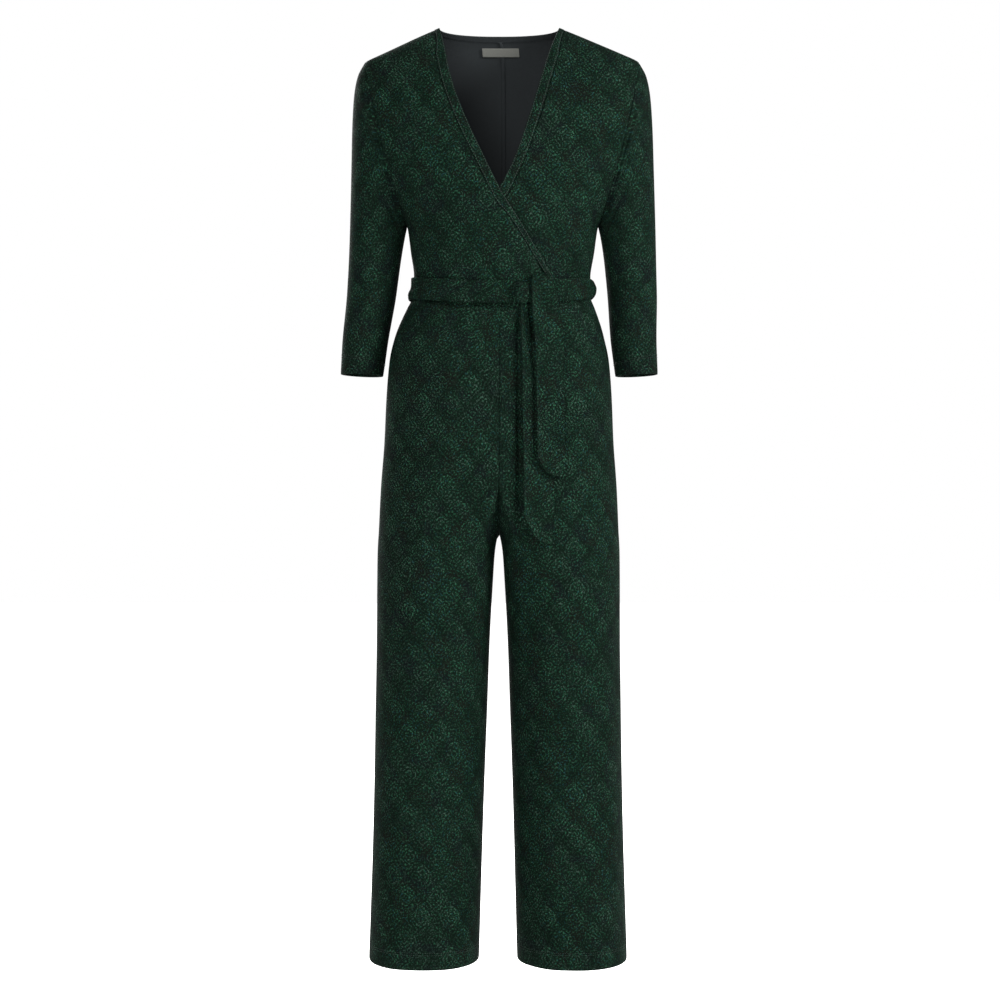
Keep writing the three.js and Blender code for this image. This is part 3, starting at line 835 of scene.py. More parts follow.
@dataclass(frozen=True)
class BeltCut:
    """The tie belt: the stretch round the waist, the knot and the two tails."""

    form: Form = FORM
    wide: float = 33.0
    wall: float = 2.4
    clear: float = 0.9
    side_z: float = -393.0
    front_z: float = -404.0
    back_z: float = -392.0
    roll: float = 1.6
    tail_wall: float = 2.0
    knot_x: float = 30.5
    knot_z: float = -407.0
    knot_wide: float = 23.0
    knot_high: float = 34.0
    knot_deep: float = 9.5
    knot_full: float = 0.985
    # Each slanting fold of the knot: depth, half width, shares across and up, where it crosses
    knot_folds: tuple[tuple[float, ...], ...] = (
        (2.6, 0.13, 0.45, 0.90, -0.42),
        (2.0, 0.11, 0.55, 0.80, 0.08),
        (1.6, 0.11, 0.60, 0.75, 0.55),
    )
    # Each lengthwise crease: share across the belt, reach, depth, waves in a round, where they start
    creases: tuple[tuple[float, ...], ...] = (
        (0.24, 0.09, 1.5, 3, 0.4),
        (0.52, 0.08, 1.2, 4, 2.1),
        (0.80, 0.08, 0.9, 5, 4.0),
    )
    # Each pleat across the belt: share of a round, reach, depth, slant
    pleats: tuple[tuple[float, ...], ...] = (
        (-0.078, 0.0040, 1.8, 0.002),
        (0.010, 0.0045, 1.6, -0.012),
        (0.062, 0.0040, 1.6, 0.014),
        (0.086, 0.0045, 3.2, -0.004),
        (0.128, 0.0045, 1.4, 0.008),
        (-0.150, 0.0045, 1.0, -0.006),
        (-0.205, 0.0045, 1.2, 0.004),
        (0.215, 0.0050, 1.4, 0.003),
        (0.36, 0.0045, 1.2, 0.010),
        (-0.41, 0.0045, 1.0, -0.008),
    )
    # height, left edge, right edge, how far off the body
    over_tail: tuple[tuple[float, ...], ...] = (
        (-377, 46, 72, 7.6),
        (-391, 45, 74.5, 8.2),
        (-406, 44.5, 78, 8),
        (-424, 45, 83, 6.6),
        (-440, 46, 87, 6),
        (-500, 51, 91.5, 5),
        (-570, 52, 92, 4.6),
        (-653, 53, 91.5, 6.6),
    )
    under_tail: tuple[tuple[float, ...], ...] = (
        (-424.4, 29, 39, 4.2),
        (-446, 30, 42, 2.8),
        (-475, 31, 47, 1.4),
        (-500, 31.6, 60, 0.8),
        (-540, 32.4, 74, 0.4),
        (-600, 33, 76, 0.6),
        (-640, 33.4, 77, 1.6),
        (-690, 34.4, 77.5, 4),
        (-741, 35, 77.5, 7.5),
    )
    over_slant: float = 21.0
    under_slant: float = 31.0

    def dent(self, turned: float, v: float) -> float:
        """Give the depth of the belt's creases at a share of a round and across its width.

        Args:
            turned: The share of a round about the waist.
            v: 0 at the belt's upper edge and 1 at its lower edge.

        Returns:
            The depth, in millimetres.
        """
        depth = 0.0
        for at, reach, deep, waves, start in self.creases:
            line = at + 0.07 * math.sin(waves * math.tau * turned + start)
            fade = 0.6 + 0.4 * math.sin(2 * waves * turned * math.tau + start * 2)
            depth += deep * fade * math.exp(-(((v - line) / reach) ** 2))
        for at, reach, deep, slant in self.pleats:
            off = (turned - at + slant * (v - 0.5) + 0.5) % 1.0 - 0.5
            depth += deep * math.exp(-((off / reach) ** 2))
        return depth * math.sin(math.pi * clamp(v, 0.0, 1.0)) ** 0.5

    def waist(self, turned: float, v: float) -> Vector:
        """Give a point on the outside of the belt.

        Args:
            turned: The share of a round about the waist, from the front.
            v: 0 at the belt's upper edge and 1 at its lower edge.

        Returns:
            The point, before the lean.
        """
        form, angle = self.form, turned * math.tau
        face = Face.FRONT if math.cos(angle) >= 0 else Face.BACK
        turn = math.atan2(math.sin(angle), abs(math.cos(angle)))
        middle = self.front_z if face is Face.FRONT else self.back_z
        right = math.exp(-(((turned - 0.25) / 0.055) ** 2))
        left = math.exp(-(((turned - 0.75) / 0.07) ** 2))
        z = mix(middle, self.side_z, math.sin(turn) ** 2) + self.wide * (0.5 - v) * (1 - 0.27 * right)
        depth = form.curves[(face, "body")]
        full = self.roll + 3.4 * right
        roll = full * (1 - (2 * v - 1) ** 2) - self.dent(turned, v)
        roll += left * (4.2 * ease(0.42, 0.72, v) - 1.6) * math.sin(math.pi * v) ** 0.4
        roll += 1.6 * math.exp(-(((v - 0.78) / 0.15) ** 2)) * math.cos(angle / 2) ** 4
        off = self.clear + self.wall + roll
        widest = max(form.side_reach(z), form.side_reach(form.waist_z)) + off
        deepest = max(depth(z), depth(form.waist_z)) + off
        x = widest * squared(math.sin(turn), 2 / form.body_square)
        y = deepest * squared(math.cos(turn), 2 / form.body_square)
        return Vector((x, face.value * y, z))

    def knot(self, u: float, v: float) -> Vector:
        """Give a point of the knot, from its middle (v = 0) out to its rim (v = 1).

        Args:
            u: The share round the knot.
            v: The share from its middle to its rim.

        Returns:
            The point, before the lean.
        """
        angle, reach = u * math.tau, mix(0.02, 1.0, v)
        across = reach * squared(math.cos(angle), 0.55)
        up = reach * squared(math.sin(angle), 0.55)
        folded = 0.0
        for deep, wide, along, rise, start in self.knot_folds:
            folded += deep * math.exp(-(((across * along + up * rise - start) / wide) ** 2))
        dome = self.knot_deep * math.sqrt(1 - reach**4 * self.knot_full)
        out = self.clear + self.wall + self.roll - 0.4 + dome - folded * min(1.0, dome / 6)
        x = self.knot_x + self.knot_wide / 2 * across
        return self.form.front_at(x, self.knot_z + self.knot_high / 2 * up, out)

    def tail(self, over: bool) -> Surface:
        """Give the surface of one tail.

        Args:
            over: Whether it is the tail that lies on the other one.

        Returns:
            The surface, from its left to its right edge and from the knot to its slanting end.
        """
        rows = self.over_tail if over else self.under_tail
        slant = self.over_slant if over else self.under_slant
        left, right, off = (Curve(rows, column) for column in (1, 2, 3))
        top, end = rows[0][0], rows[-1][0]

        def surface(u: float, v: float) -> Vector:
            """Give one point of the tail.

            Args:
                u: 0 at its left edge and 1 at its right edge.
                v: 0 at the knot and 1 at its end.

            Returns:
                The point, before the lean.
            """
            straight = mix(top, end, v)
            corner = 7 * ease(0.9, 1, v) * (1 - ease(0, 0.3, u))
            z = straight - slant * ease(0.72, 1, v) * (1 - (1 - u) ** 3) + corner
            x = mix(left(straight), right(straight), u)
            pleat = math.exp(-(((u - 0.42 - 0.1 * v) / 0.10) ** 2)) * (1 - ease(0.05, 0.45, v))
            wave = 0.6 * math.sin(u * 4.2 + v * 9) * ease(0.2, 0.6, v)
            low = 0.3 if over else 0.0
            lift = 4.6 * (1 - u) ** 3 * ease(0.03, 0.12, v) * (1 - low * ease(0.25, 0.6, v))
            if over:
                upper = 1 - ease(0.04, 0.16, v)
                pleat += upper * math.exp(-(((u - 0.30) / 0.07) ** 2))
                pleat += upper * math.exp(-(((u - 0.68) / 0.08) ** 2))
                sag = 3.2 * math.exp(-(((z + 402 + 5 * u) / 3.4) ** 2)) * ease(0.35, 0.6, u)
                sag += 2.2 * math.exp(-(((z + 421 + 4 * u) / 4) ** 2)) * ease(0.3, 0.5, u)
                sag += 6.5 * max(0.0, 1 - (top - straight) / 9) ** 2
            else:
                sag = 2.6 * ease(0.3, 0.6, u) * ease(0, 0.04, v) * (1 - ease(0.25, 0.4, v))
                beside = self.over_tail[0][1] + 7 * ease(-420, -560, z) - 1.5
                sag += 3.0 * math.exp(-(((x - beside) / 2.6) ** 2)) * ease(-650, -640, z)
            out = off(straight) + self.tail_wall - 1.6 * pleat + wave + lift - sag + 2.4 * ease(0.86, 1, v)
            return self.form.front_at(x, z, out)

        return surface


def folds(face: Face, *rows: tuple[float, ...]) -> tuple[Fold, ...]:
    """Make the folds of one face from rows of x and z at the start and at the end, width, depth, open."""
    return tuple(Fold(face, *row) for row in rows)


# The cloth's smaller creases, on the bodice and then on the legs: where each starts (x, z) and ends
# (x, z), its half width and its depth, and True where it runs on to the hem
BODICE_CREASES = (
    *folds(
        Face.FRONT,
        (-128, -377, -90, -386, 3.4, 3.2),
        (96, -385, 128, -378, 3.4, 2.6),
        (-90, -386, -30, -389, 3.2, 1.6),
        (80, -350, 82, -388, 4.5, 3.0),
        (-100, -352, -84, -396, 6, 2.6),
        (-91, -350, -76, -396, 4, -1.6),
        (-36, -340, -10, -396, 7, 2.6),
        (-26, -345, 0, -396, 4, -1.8),
        (52, -352, 70, -396, 6, 2.4),
        (62, -356, 78, -396, 4, -1.6),
        (-62, -330, -46, -396, 6, 1.6),
        (104, -350, 98, -396, 6, 1.8),
        (20, -300, 52, -352, 6, 1.5),
        (-150, -150, -120, -235, 9, 2.4),
        (-138, -190, -90, -226, 7, 1.8),
        (-120, -285, -70, -268, 7, 1.6),
        (156, -160, 128, -240, 8, 2.2),
        (140, -200, 96, -232, 7, 1.6),
        (122, -290, 76, -276, 7, 1.4),
        (-130, -75, -112, -130, 12, 1.2),
        (120, -80, 106, -140, 12, 1.4),
    ),
    *folds(
        Face.BACK,
        (-150, -160, -112, -225, 9, 2.2),
        (152, -155, 116, -230, 9, 2.4),
        (-88, -345, -74, -396, 6, 2.2),
        (-24, -338, -16, -396, 6, 1.8),
        (22, -344, 12, -396, 7, 2.2),
        (90, -340, 78, -396, 6, 2.0),
        (-60, -90, -30, -110, 12, 1.2),
    ),
)
LEG_CREASES = (
    *folds(
        Face.FRONT,
        (-116, -412, -64, -421, 3.8, 5.0),
        (-68, -421, 24, -424, 3.8, 5.0),
        (88, -420, 122, -413, 3.4, 3.0),
        (43.5, -426, 46, -520, 4.6, 15.0),
        (29.5, -530, 31.5, -746, 4.4, 13.0),
        (29, -436, 29, -540, 3.4, 8.0),
        (17, -470, 24, -560, 6, 1.8),
        (44, -760, 42, -1010, 12, 3.2),
        (34, -980, 40, -1392, 14, 4.0, True),
        (-112, -404, -104, -450, 6, 1.8),
        (-62, -404, -66, -470, 7, 2.0),
        (-22, -404, -18, -455, 6, 1.8),
        (96, -404, 104, -480, 7, 2.0),
        (10, -690, 44, -716, 7, 2.2),
        (-10, -692, -50, -722, 7, 2.4),
        (-12, -730, -60, -748, 7, 2.0),
        (36, -750, 82, -780, 6.5, 5.5),
        (-92, -600, -118, -660, 12, 1.4),
        (-60, -800, -64, -1150, 15, 2.0),
        (-150, -700, -156, -980, 14, 1.8),
        (-92, -1080, -96, -1392, 16, 2.2, True),
        (128, -820, 132, -1120, 14, 1.8),
        (96, -1040, 102, -1392, 16, 1.8, True),
    ),
    *folds(
        Face.BACK,
        (-12, -640, -66, -700, 8, 2.4),
        (12, -655, 62, -705, 8, 2.6),
        (-14, -720, -76, -744, 8, 2.2),
        (14, -722, 70, -750, 8, 2.2),
        (-110, -404, -100, -470, 7, 2.0),
        (-40, -404, -46, -460, 7, 1.8),
        (52, -404, 60, -465, 7, 2.0),
        (112, -404, 104, -460, 7, 1.8),
        (-110, -840, -118, -1200, 15, 2.2),
        (58, -860, 60, -1180, 15, 2.2),
        (140, -1010, 146, -1392, 15, 2.2, True),
        (-134, -1100, -140, -1392, 15, 2.0, True),
    ),
)


@dataclass(frozen=True)
class Ripple:
    """The slight unevenness of hanging cloth and its creases, in millimetres."""

    deep: float = 0.8
    wide: float = 26.0
    high: float = 120.0
    waist: float = 1.4
    creases: tuple[Fold, ...] = ()

    def at(self, places: np.ndarray, normals: np.ndarray) -> np.ndarray:
        """Give the depth at each place of a grid.

        Args:
            places: The grid of points.
            normals: Their outward normals.

        Returns:
            The depths. A crease fades where the cloth turns away from its face.
        """
        x, y, z = places[..., 0], places[..., 1], places[..., 2]
        round_about = x + 0.8 * y
        sway = np.sin(round_about / self.wide + 1.3 * np.sin(z / (self.high * 1.7)) + 0.9)
        sway = sway * np.sin(z / self.high + 0.6 * np.sin(round_about / 61))
        near = np.exp(-np.abs(z - FORM.waist_z) / 26)
        gathers = 0.5 + 0.5 * np.sin(round_about / 4.6 + 2.2 * np.sin(round_about / 31))
        depth = self.deep * (0.5 + 0.5 * sway) + self.waist * near * gathers
        for crease in self.creases:
            facing = np.clip(normals[..., 1] * crease.face.value, 0, 1)
            depth = depth + crease.depths_on(x, z) * facing
        return depth


class Materials:
    """The finished materials of the garment."""

    def __init__(self) -> None:
        """Make them all once."""
        self.jersey = JerseyFinish().build()
        self.inside = PlainFinish("inside", (0.0108, 0.0124, 0.0132), 0.9, 0.03).build()
        self.label = PlainFinish("label_tape", (0.062, 0.0635, 0.0575), 0.8, 0.1).build()
        self.thread = PlainFinish("thread", (0.0115, 0.0155, 0.0138), 0.6, 0.1).build()


@dataclass(frozen=True)
class Seam:
    """The seam on one border of a piece. With no way given, it goes on straight across.

    A piece that carries the allowance has a strip beneath the next piece.
    """

    way: tuple[float, float, float] | None = None
    carries: bool = False
    armhole: Side | None = None
    middle: Side | None = None
    deep: float = 0.9

    def across(self, edge: np.ndarray, onward: np.ndarray) -> tuple[np.ndarray, np.ndarray]:
        """Give the directions across the seam, and the share of an allowance at each place.

        Args:
            edge: The border's points.
            onward: The directions in which the cloth would go on.

        Returns:
            The directions out of the piece, and the shares.
        """
        ways = onward.copy() if self.way is None else np.tile(np.array(self.way, float), (len(edge), 1))
        shares = np.full((len(edge), 1), 1.0 if self.carries else TRIMMED)
        if self.armhole:
            above = edge[:, 2] > FORM.armpit_z + 0.5
            ways[above] = FORM.armhole_way * (self.armhole.value, 1, 1)
            shares[above] = TRIMMED
        if self.middle:
            inside = np.abs(edge[:, 0]) < 0.5
            ways[inside] = (-self.middle.value, 0, 0)
            shares[inside] = 1.0 if self.middle is Side.RIGHT else TRIMMED
        return ways, shares


@dataclass
class ClothPiece:
    """A thin shell of cloth on a grid whose points follow a surface."""

    name: str
    surface: Surface
    across: np.ndarray
    down: np.ndarray
    core: Vector
    lay: Lay
    flat: tuple[float, float]
    seams: dict[Border, Seam] = field(default_factory=dict)
    face: Face = Face.FRONT
    loop: bool = False
    thick: float = 1.0
    hem: float = 0.0
    area: float | None = None
    held: str = "hung"
    ripple: Ripple | None = None
    puff: float = 0.0
    rounded: bool = False
    faced: bool = False
    slot: str = "jersey"

    def make(self, materials: Materials) -> bpy.types.Object:
        """Args:
            materials: The finished materials.

        Returns:
            The finished object.
        """
        places = np.array([[self.surface(u, v) for u in self.across] for v in self.down])
        normals = self.normals(places)
        pattern = self.pattern(places)
        moved = places - self.sinking(places, normals)
        if self.hem:
            moved, pattern = self.turn_up(moved, normals, pattern)
            turned = len(moved) - len(normals)
            normals = np.concatenate([normals, np.repeat(normals[-1:], turned, axis=0)])
        for border in sorted(self.seams, key=lambda each: each.value):
            moved, pattern, normals = self.allow(border, moved, pattern, normals)
        moved[..., 2] = np.minimum(moved[..., 2], places[..., 2].max() + FORM.seam_gap)
        moved[..., 0] += [[FORM.lean(z) for z in row] for row in moved[..., 2]]
        obj = self.mesh_object(moved * MM, pattern * MM, materials)
        log.info("%s: %d by %d points", self.name, moved.shape[1], moved.shape[0])
        return obj

    def outwards(self, places: np.ndarray, normals: np.ndarray) -> bool:
        """Say whether the normals point away from the core."""
        return float(((places - np.array(self.core)) * normals * (1, 1, 0.05)).sum()) > 0

    def normals(self, places: np.ndarray) -> np.ndarray:
        """Give the outward normal at each point of the grid.

        Args:
            places: The grid of points.

        Returns:
            The normals, of length 1.
        """
        if self.loop:
            wide = np.concatenate([places[:, -2:-1], places, places[:, 1:2]], axis=1)
            sideways = np.gradient(wide, axis=1)[:, 1:-1]
        else:
            sideways = np.gradient(places, axis=1)
        normals = np.cross(sideways, np.gradient(places, axis=0))
        normals /= np.maximum(np.linalg.norm(normals, axis=2, keepdims=True), 1e-9)
        return normals if self.outwards(places, normals) else -normals

    def run(self, places: np.ndarray, axis: int, backwards: bool = False) -> np.ndarray:
        """Give each point's distance along its row or column.

        Args:
            places: The grid of points.
            axis: 1 along the rows and 0 down the columns.
            backwards: Measure from the end.

        Returns:
            The distances.
        """
        steps = np.linalg.norm(np.diff(places, axis=axis), axis=2)
        start = np.zeros_like(steps[:, :1] if axis == 1 else steps[:1])
        run = np.concatenate([start, np.cumsum(steps, axis=axis)], axis=axis)
        if not backwards:
            return run
        return (run[:, -1:] if axis == 1 else run[-1:]) - run

    def sinking(self, places: np.ndarray, normals: np.ndarray) -> np.ndarray:
        """Give how far each point moves inwards, for unevenness and to roll in at the seams.

        Args:
            places: The grid of points.
            normals: Their outward normals.

        Returns:
            The movement of each point. It doesn't part two pieces at a seam.
        """
        depth = np.zeros(places.shape[:2])
        if self.ripple:
            depth = self.ripple.at(places, normals)
        depth -= self.puff * np.outer(np.clip(self.down / 0.05, 0, 1), np.sin(math.pi * self.across))
        runs = {border: self.run(places, border.axis, border.last) for border in self.seams}
        for border, distance in runs.items():
            depth = depth + self.seams[border].deep * np.exp(-((distance / SEAM_ROLL) ** 2))
        moves = normals * depth[..., None]
        for border, seam in self.seams.items():
            edge, onward = self.edge_of(border, places, normals)
            ways = np.expand_dims(seam.across(edge, onward)[0], border.axis)
            near = np.exp(-((runs[border] / SEAM_HOLD) ** 2))[..., None]
            moves -= ways * (moves * ways).sum(axis=2, keepdims=True) * near
        return moves

    def edge_of(
        self, border: Border, places: np.ndarray, normals: np.ndarray
    ) -> tuple[np.ndarray, np.ndarray]:
        """Give a border's points, and the directions in which the cloth would go on there.

        Args:
            border: The border.
            places: The grid of points.
            normals: Their outward normals.

        Returns:
            The points and the directions.
        """
        grid, out = (np.swapaxes(each, 0, 1) if border.axis else each for each in (places, normals))
        edge, before, normal = (grid[-1], grid[-3], out[-1]) if border.last else (grid[0], grid[2], out[0])
        onward = edge - before
        onward = onward - normal * (onward * normal).sum(axis=1, keepdims=True)
        return edge, onward / np.maximum(np.linalg.norm(onward, axis=1, keepdims=True), 1e-9)

    def pattern(self, places: np.ndarray) -> np.ndarray:
        """Give each point's place on the flat cloth, in millimetres.

        Args:
            places: The grid of points.

        Returns:
            The places, across and up.
        """
        if self.lay is Lay.ROW_START:
            return np.stack([self.run(places, 1), -self.run(places, 0)], axis=2)
        if self.lay is Lay.ARM:
            way = places[-1, :-1].mean(axis=0) - places[0, :-1].mean(axis=0)
            way /= np.linalg.norm(way)
            steps = np.diff(places, axis=1)
            steps = np.linalg.norm(steps - way * (steps * way).sum(axis=2, keepdims=True), axis=2)
            middle = steps.shape[1] // 2
            back = np.cumsum(steps[:, :middle], axis=1)
            front = -np.cumsum(steps[:, :middle:-1], axis=1)[:, ::-1]
            start = np.zeros_like(steps[:, :1])
            return np.stack([np.hstack([start, back, front, start]), -(places * way).sum(axis=2)], axis=2)
        if self.lay is Lay.ROW_END:
            side = -1 if places[0, -1, 0] < 0 else 1
            return np.stack([side * (180 - self.run(places, 1, True)), places[..., 2]], axis=2)
        flat = [[FORM.arc(x, z, self.face) for x, _, z in row] for row in places]
        return np.stack([np.array(flat), places[..., 2]], axis=2)

    def allow(
        self, border: Border, places: np.ndarray, pattern: np.ndarray, normals: np.ndarray
    ) -> tuple[np.ndarray, np.ndarray, np.ndarray]:
        """Carry the cloth on past a seam, as an allowance that lies beneath the next piece.

        Args:
            border: The border with the seam.
            places: The grid of points.
            pattern: Their places on the flat cloth.
            normals: Their outward normals.

        Returns:
            The three grids, longer by the allowance.
        """
        edge, onward = self.edge_of(border, places, normals)
        ways, shares = self.seams[border].across(edge, onward)
        axis, last = border.axis, border.last
        grids = [np.swapaxes(grid, 0, 1) if axis else grid for grid in (places, pattern, normals)]
        grids = [grid if last else grid[::-1] for grid in grids]
        lay, out = grids[1][-1], grids[2][-1]
        onwards = lay - grids[1][-3]
        onwards /= np.maximum(np.linalg.norm(onwards, axis=1, keepdims=True), 1e-6)
        inward = onward * 0.5 - out
        inward -= ways * (inward * ways).sum(axis=1, keepdims=True)
        inward /= np.maximum(np.linalg.norm(inward, axis=1, keepdims=True), 1e-9)
        flatter = np.clip(1.2 - 1.2 * np.abs((out * ways).sum(axis=1, keepdims=True)), 0.1, 1)
        for beyond, depth in ALLOWANCE:
            row = edge + ways * shares * beyond + inward * depth * flatter
            new = (row, lay + onwards * beyond, out)
            grids = [np.concatenate([grid, extra[None]]) for grid, extra in zip(grids, new)]
        grids = [grid if last else grid[::-1] for grid in grids]
        made = [np.swapaxes(grid, 0, 1) if axis else grid for grid in grids]
        return made[0], made[1], made[2]

    def turn_up(
        self, places: np.ndarray, normals: np.ndarray, pattern: np.ndarray
    ) -> tuple[np.ndarray, np.ndarray]:
        """Turn the cloth up inside its lower border as a hem.

        Args:
            places: The grid of points.
            normals: Their outward normals.
            pattern: Their places on the flat cloth.

        Returns:
            The longer grids of points and of places on the flat cloth.
        """
        bend = 1.1
        low, out = places[-1], normals[-1]
        back = self.run(places, 0, True)
        tangent = low - places[-3]
        tangent /= np.linalg.norm(tangent, axis=1, keepdims=True)
        rows, lays = [places], [pattern]
        for angle in (50, 90, 130, 180):
            a = math.radians(angle)
            rows.append((low + tangent * bend * math.sin(a) - out * bend * (1 - math.cos(a)))[None])
            lays.append((pattern[-1] - [0, bend * a])[None])
        for up in (4.0, 11.0, 18.0, self.hem - 1.5, self.hem):
            row = np.empty_like(low)
            for column in range(low.shape[0]):
                for axis in range(3):
                    own = places[::-1, column, axis] - normals[::-1, column, axis] * 2 * bend
                    row[column, axis] = np.interp(up, back[::-1, column], own)
            rows.append(row[None])
            lays.append((pattern[-1] - [0, up + 3.4])[None])
        return np.concatenate(rows), np.concatenate(lays)

    def mesh_object(
        self, places: np.ndarray, pattern: np.ndarray, materials: Materials
    ) -> bpy.types.Object:
        """Turn the finished grid into an object with its shell and finish, hang it on the body and hide the
        solid that it replaces.

        Args:
            places: The grid of points, in metres.
            pattern: Their places on the flat cloth, in metres.
            materials: The finished materials.

        Returns:
            The object.
        """
        mesh = self.grid_mesh(places, pattern)
        obj = bpy.data.objects.new(mesh.name, mesh)
        bpy.context.scene.collection.objects.link(obj)
        outer = materials.label if self.slot == "label" else materials.jersey
        mesh.materials.append(outer)
        same = self.slot == "label" or self.rounded and not self.faced
        mesh.materials.append(outer if same else materials.inside)
        self.add_shell(obj)
        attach(obj, BODY)
        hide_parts(self.name)
        return obj

    def grid_mesh(self, places: np.ndarray, pattern: np.ndarray) -> bpy.types.Mesh:
        """Make the bare sheet, with its pattern's places and its outer side turned out.

        Args:
            places: The grid of points, in metres.
            pattern: Their places on the flat cloth, in metres.

        Returns:
            The mesh.
        """
        rows, columns = places.shape[:2]
        bm = bmesh.new()
        bmesh.ops.create_grid(bm, x_segments=columns - 1, y_segments=rows - 1, size=0.5)
        layer = bm.loops.layers.uv.new("cloth")
        bm.verts.ensure_lookup_table()
        flat = pattern.reshape(-1, 2)
        for vert, place in zip(bm.verts, places.reshape(-1, 3)):
            vert.co = place
        bm.verts.index_update()
        for polygon in bm.faces:
            polygon.smooth = True
            for corner in polygon.loops:
                corner[layer].uv = flat[corner.vert.index]
        bm.normal_update()
        centre = [f.calc_center_median() / MM - self.core for f in bm.faces]
        facing = sum(c.x * f.normal.x + c.y * f.normal.y for c, f in zip(centre, bm.faces))
        if facing < 0:
            bmesh.ops.reverse_faces(bm, faces=bm.faces[:])
        bmesh.ops.remove_doubles(bm, verts=bm.verts[:], dist=2e-5)
        area = sum(polygon.calc_area() for polygon in bm.faces)
        log.info("%s: %.4f square metres", self.name, area)
        mesh = bpy.data.meshes.new(f"{self.name}_cloth")
        bm.to_mesh(mesh)
        bm.free()
        return mesh

    def add_shell(self, obj: bpy.types.Object) -> None:
        """Give the cloth its thickness and smooth it.

        Args:
            obj: The object with the bare sheet.
        """
        shell = obj.modifiers.new("shell", "SOLIDIFY")
        shell.thickness = self.thick * MM
        shell.offset = -1
        shell.use_quality_normals = True
        shell.material_offset = 1
        smooth = obj.modifiers.new("smooth", "SUBSURF")
        smooth.levels = 1
        smooth.render_levels = 1
        if not self.rounded:
            obj.modifiers.move(1, 0)


Operand: TypeAlias = "float | Value"


class Value:
    """A shader value that takes part in Python expressions."""

    def __init__(self, shader: "Shader", socket: bpy.types.NodeSocket) -> None:
        """Wrap the output of a node."""
        self.shader = shader
        self.socket = socket

    def maths(self, operation: str, *others: Operand) -> "Value":
        """Add one Math node to the value and others."""
        sockets = dict(enumerate((self, *others)))
        return self.shader.value("ShaderNodeMath", {"operation": operation}, sockets)

    def __add__(self, other: Operand) -> "Value":
        """Add."""
        return self.maths("ADD", other)

    def __radd__(self, other: Operand) -> "Value":
        """Add to a number."""
        return self.maths("ADD", other)

    def __sub__(self, other: Operand) -> "Value":
        """Subtract."""
        return self.maths("SUBTRACT", other)

    def __rsub__(self, other: float) -> "Value":
        """Subtract from a number."""
        return self.maths("MULTIPLY", -1.0).maths("ADD", other)

    def __mul__(self, other: Operand) -> "Value":
        """Multiply."""
        return self.maths("MULTIPLY", other)

    def __rmul__(self, other: Operand) -> "Value":
        """Multiply a number."""
        return self.maths("MULTIPLY", other)

    def __truediv__(self, other: Operand) -> "Value":
        """Divide."""
        return self.maths("DIVIDE", other)

    def __rtruediv__(self, other: float) -> "Value":
        """Divide a number."""
        return self.maths("POWER", -1.0).maths("MULTIPLY", other)

    def __pow__(self, other: Operand) -> "Value":
        """Raise to a power."""
        return self.maths("POWER", other)

    def __abs__(self) -> "Value":
        """Drop the sign."""
        return self.maths("ABSOLUTE")

    def part(self) -> "Value":
        """Keep the part after the whole number."""
        return self.maths("FRACT")

    def whole(self) -> "Value":
        """Keep the whole number."""
        return self.maths("FLOOR")

    def wave(self) -> "Value":
        """Take the cosine."""
        return self.maths("COSINE")

    def below(self, other: Operand) -> "Value":
        """Give 1 where the value is the smaller one."""
        return self.maths("LESS_THAN", other)

    def least(self, other: Operand) -> "Value":
        """Keep the smaller value."""
        return self.maths("MINIMUM", other)

    def most(self, other: Operand) -> "Value":
        """Keep the larger value."""
        return self.maths("MAXIMUM", other)

    def rise(self, low: float, high: float) -> "Value":
        """Rise smoothly from 0 at low to 1 at high.

        Args:
            low: The value where it leaves 0.
            high: The value where it reaches 1.

        Returns:
            The risen value.
        """
        settings = {"interpolation_type": "SMOOTHSTEP"}
        sockets = {"Value": self, "From Min": low, "From Max": high}
        return self.shader.value("ShaderNodeMapRange", settings, sockets)

    def between(self, low: Operand, high: Operand) -> "Value":
        """Go from low to high as the value goes from 0 to 1."""
        return self * (high - low) + low


class Shader:
    """The node tree of one material."""

    def __init__(self, name: str) -> None:
        """Start a material with a Principled surface.

        Args:
            name: The material's name.
        """
        self.material = bpy.data.materials.new(name)
        self.material.use_nodes = True
        self.tree = self.material.node_tree
        self.surface = self.tree.nodes["Principled BSDF"]

    def node(self, kind: str, settings: dict, sockets: dict) -> bpy.types.Node:
        """Add any node.

        Args:
            kind: The node's type.
            settings: Its properties by name.
            sockets: A number, colour or Value for each input, by name or place.

        Returns:
            The node.
        """
        node = self.tree.nodes.new(kind)
        for name, setting in settings.items():
            setattr(node, name, setting)
        for key, entry in sockets.items():
            self.feed(node.inputs[key], entry)
        return node

    def feed(self, socket: bpy.types.NodeSocket, entry: object) -> None:
        """Set one input, or link it.

        Args:
            socket: The input.
            entry: A number, a colour or a Value.
        """
        if isinstance(entry, Value):
            self.tree.links.new(entry.socket, socket)
        else:
            socket.default_value = entry

    def value(self, kind: str, settings: dict, sockets: dict, output: int | str = 0) -> Value:
        """Add any node and wrap one of its outputs."""
        return Value(self, self.node(kind, settings, sockets).outputs[output])

    def blend(self, share: Operand, a: object, b: object) -> Value:
        """Mix two colours by a share."""
        settings = {"data_type": "RGBA", "blend_type": "MIX"}
        return self.value("ShaderNodeMix", settings, {0: share, 6: a, 7: b}, 2)

    def noise(self, place: Value, scale: float, detail: float = 0.0) -> Value:
        """Add flat noise from 0 to 1 at a place."""
        settings = {"noise_dimensions": "2D"}
        return self.value("ShaderNodeTexNoise", settings, {"Vector": place, "Scale": scale, "Detail": detail})

    def finish(self, **sockets: object) -> bpy.types.Material:
        """Feed the surface's inputs, whose spaces are underscores, and give the material.

        Args:
            sockets: A number, a colour or a Value for each input.

        Returns:
            The material.
        """
        for name, entry in sockets.items():
            self.feed(self.surface.inputs[name.replace("_", " ")], entry)
        return self.material


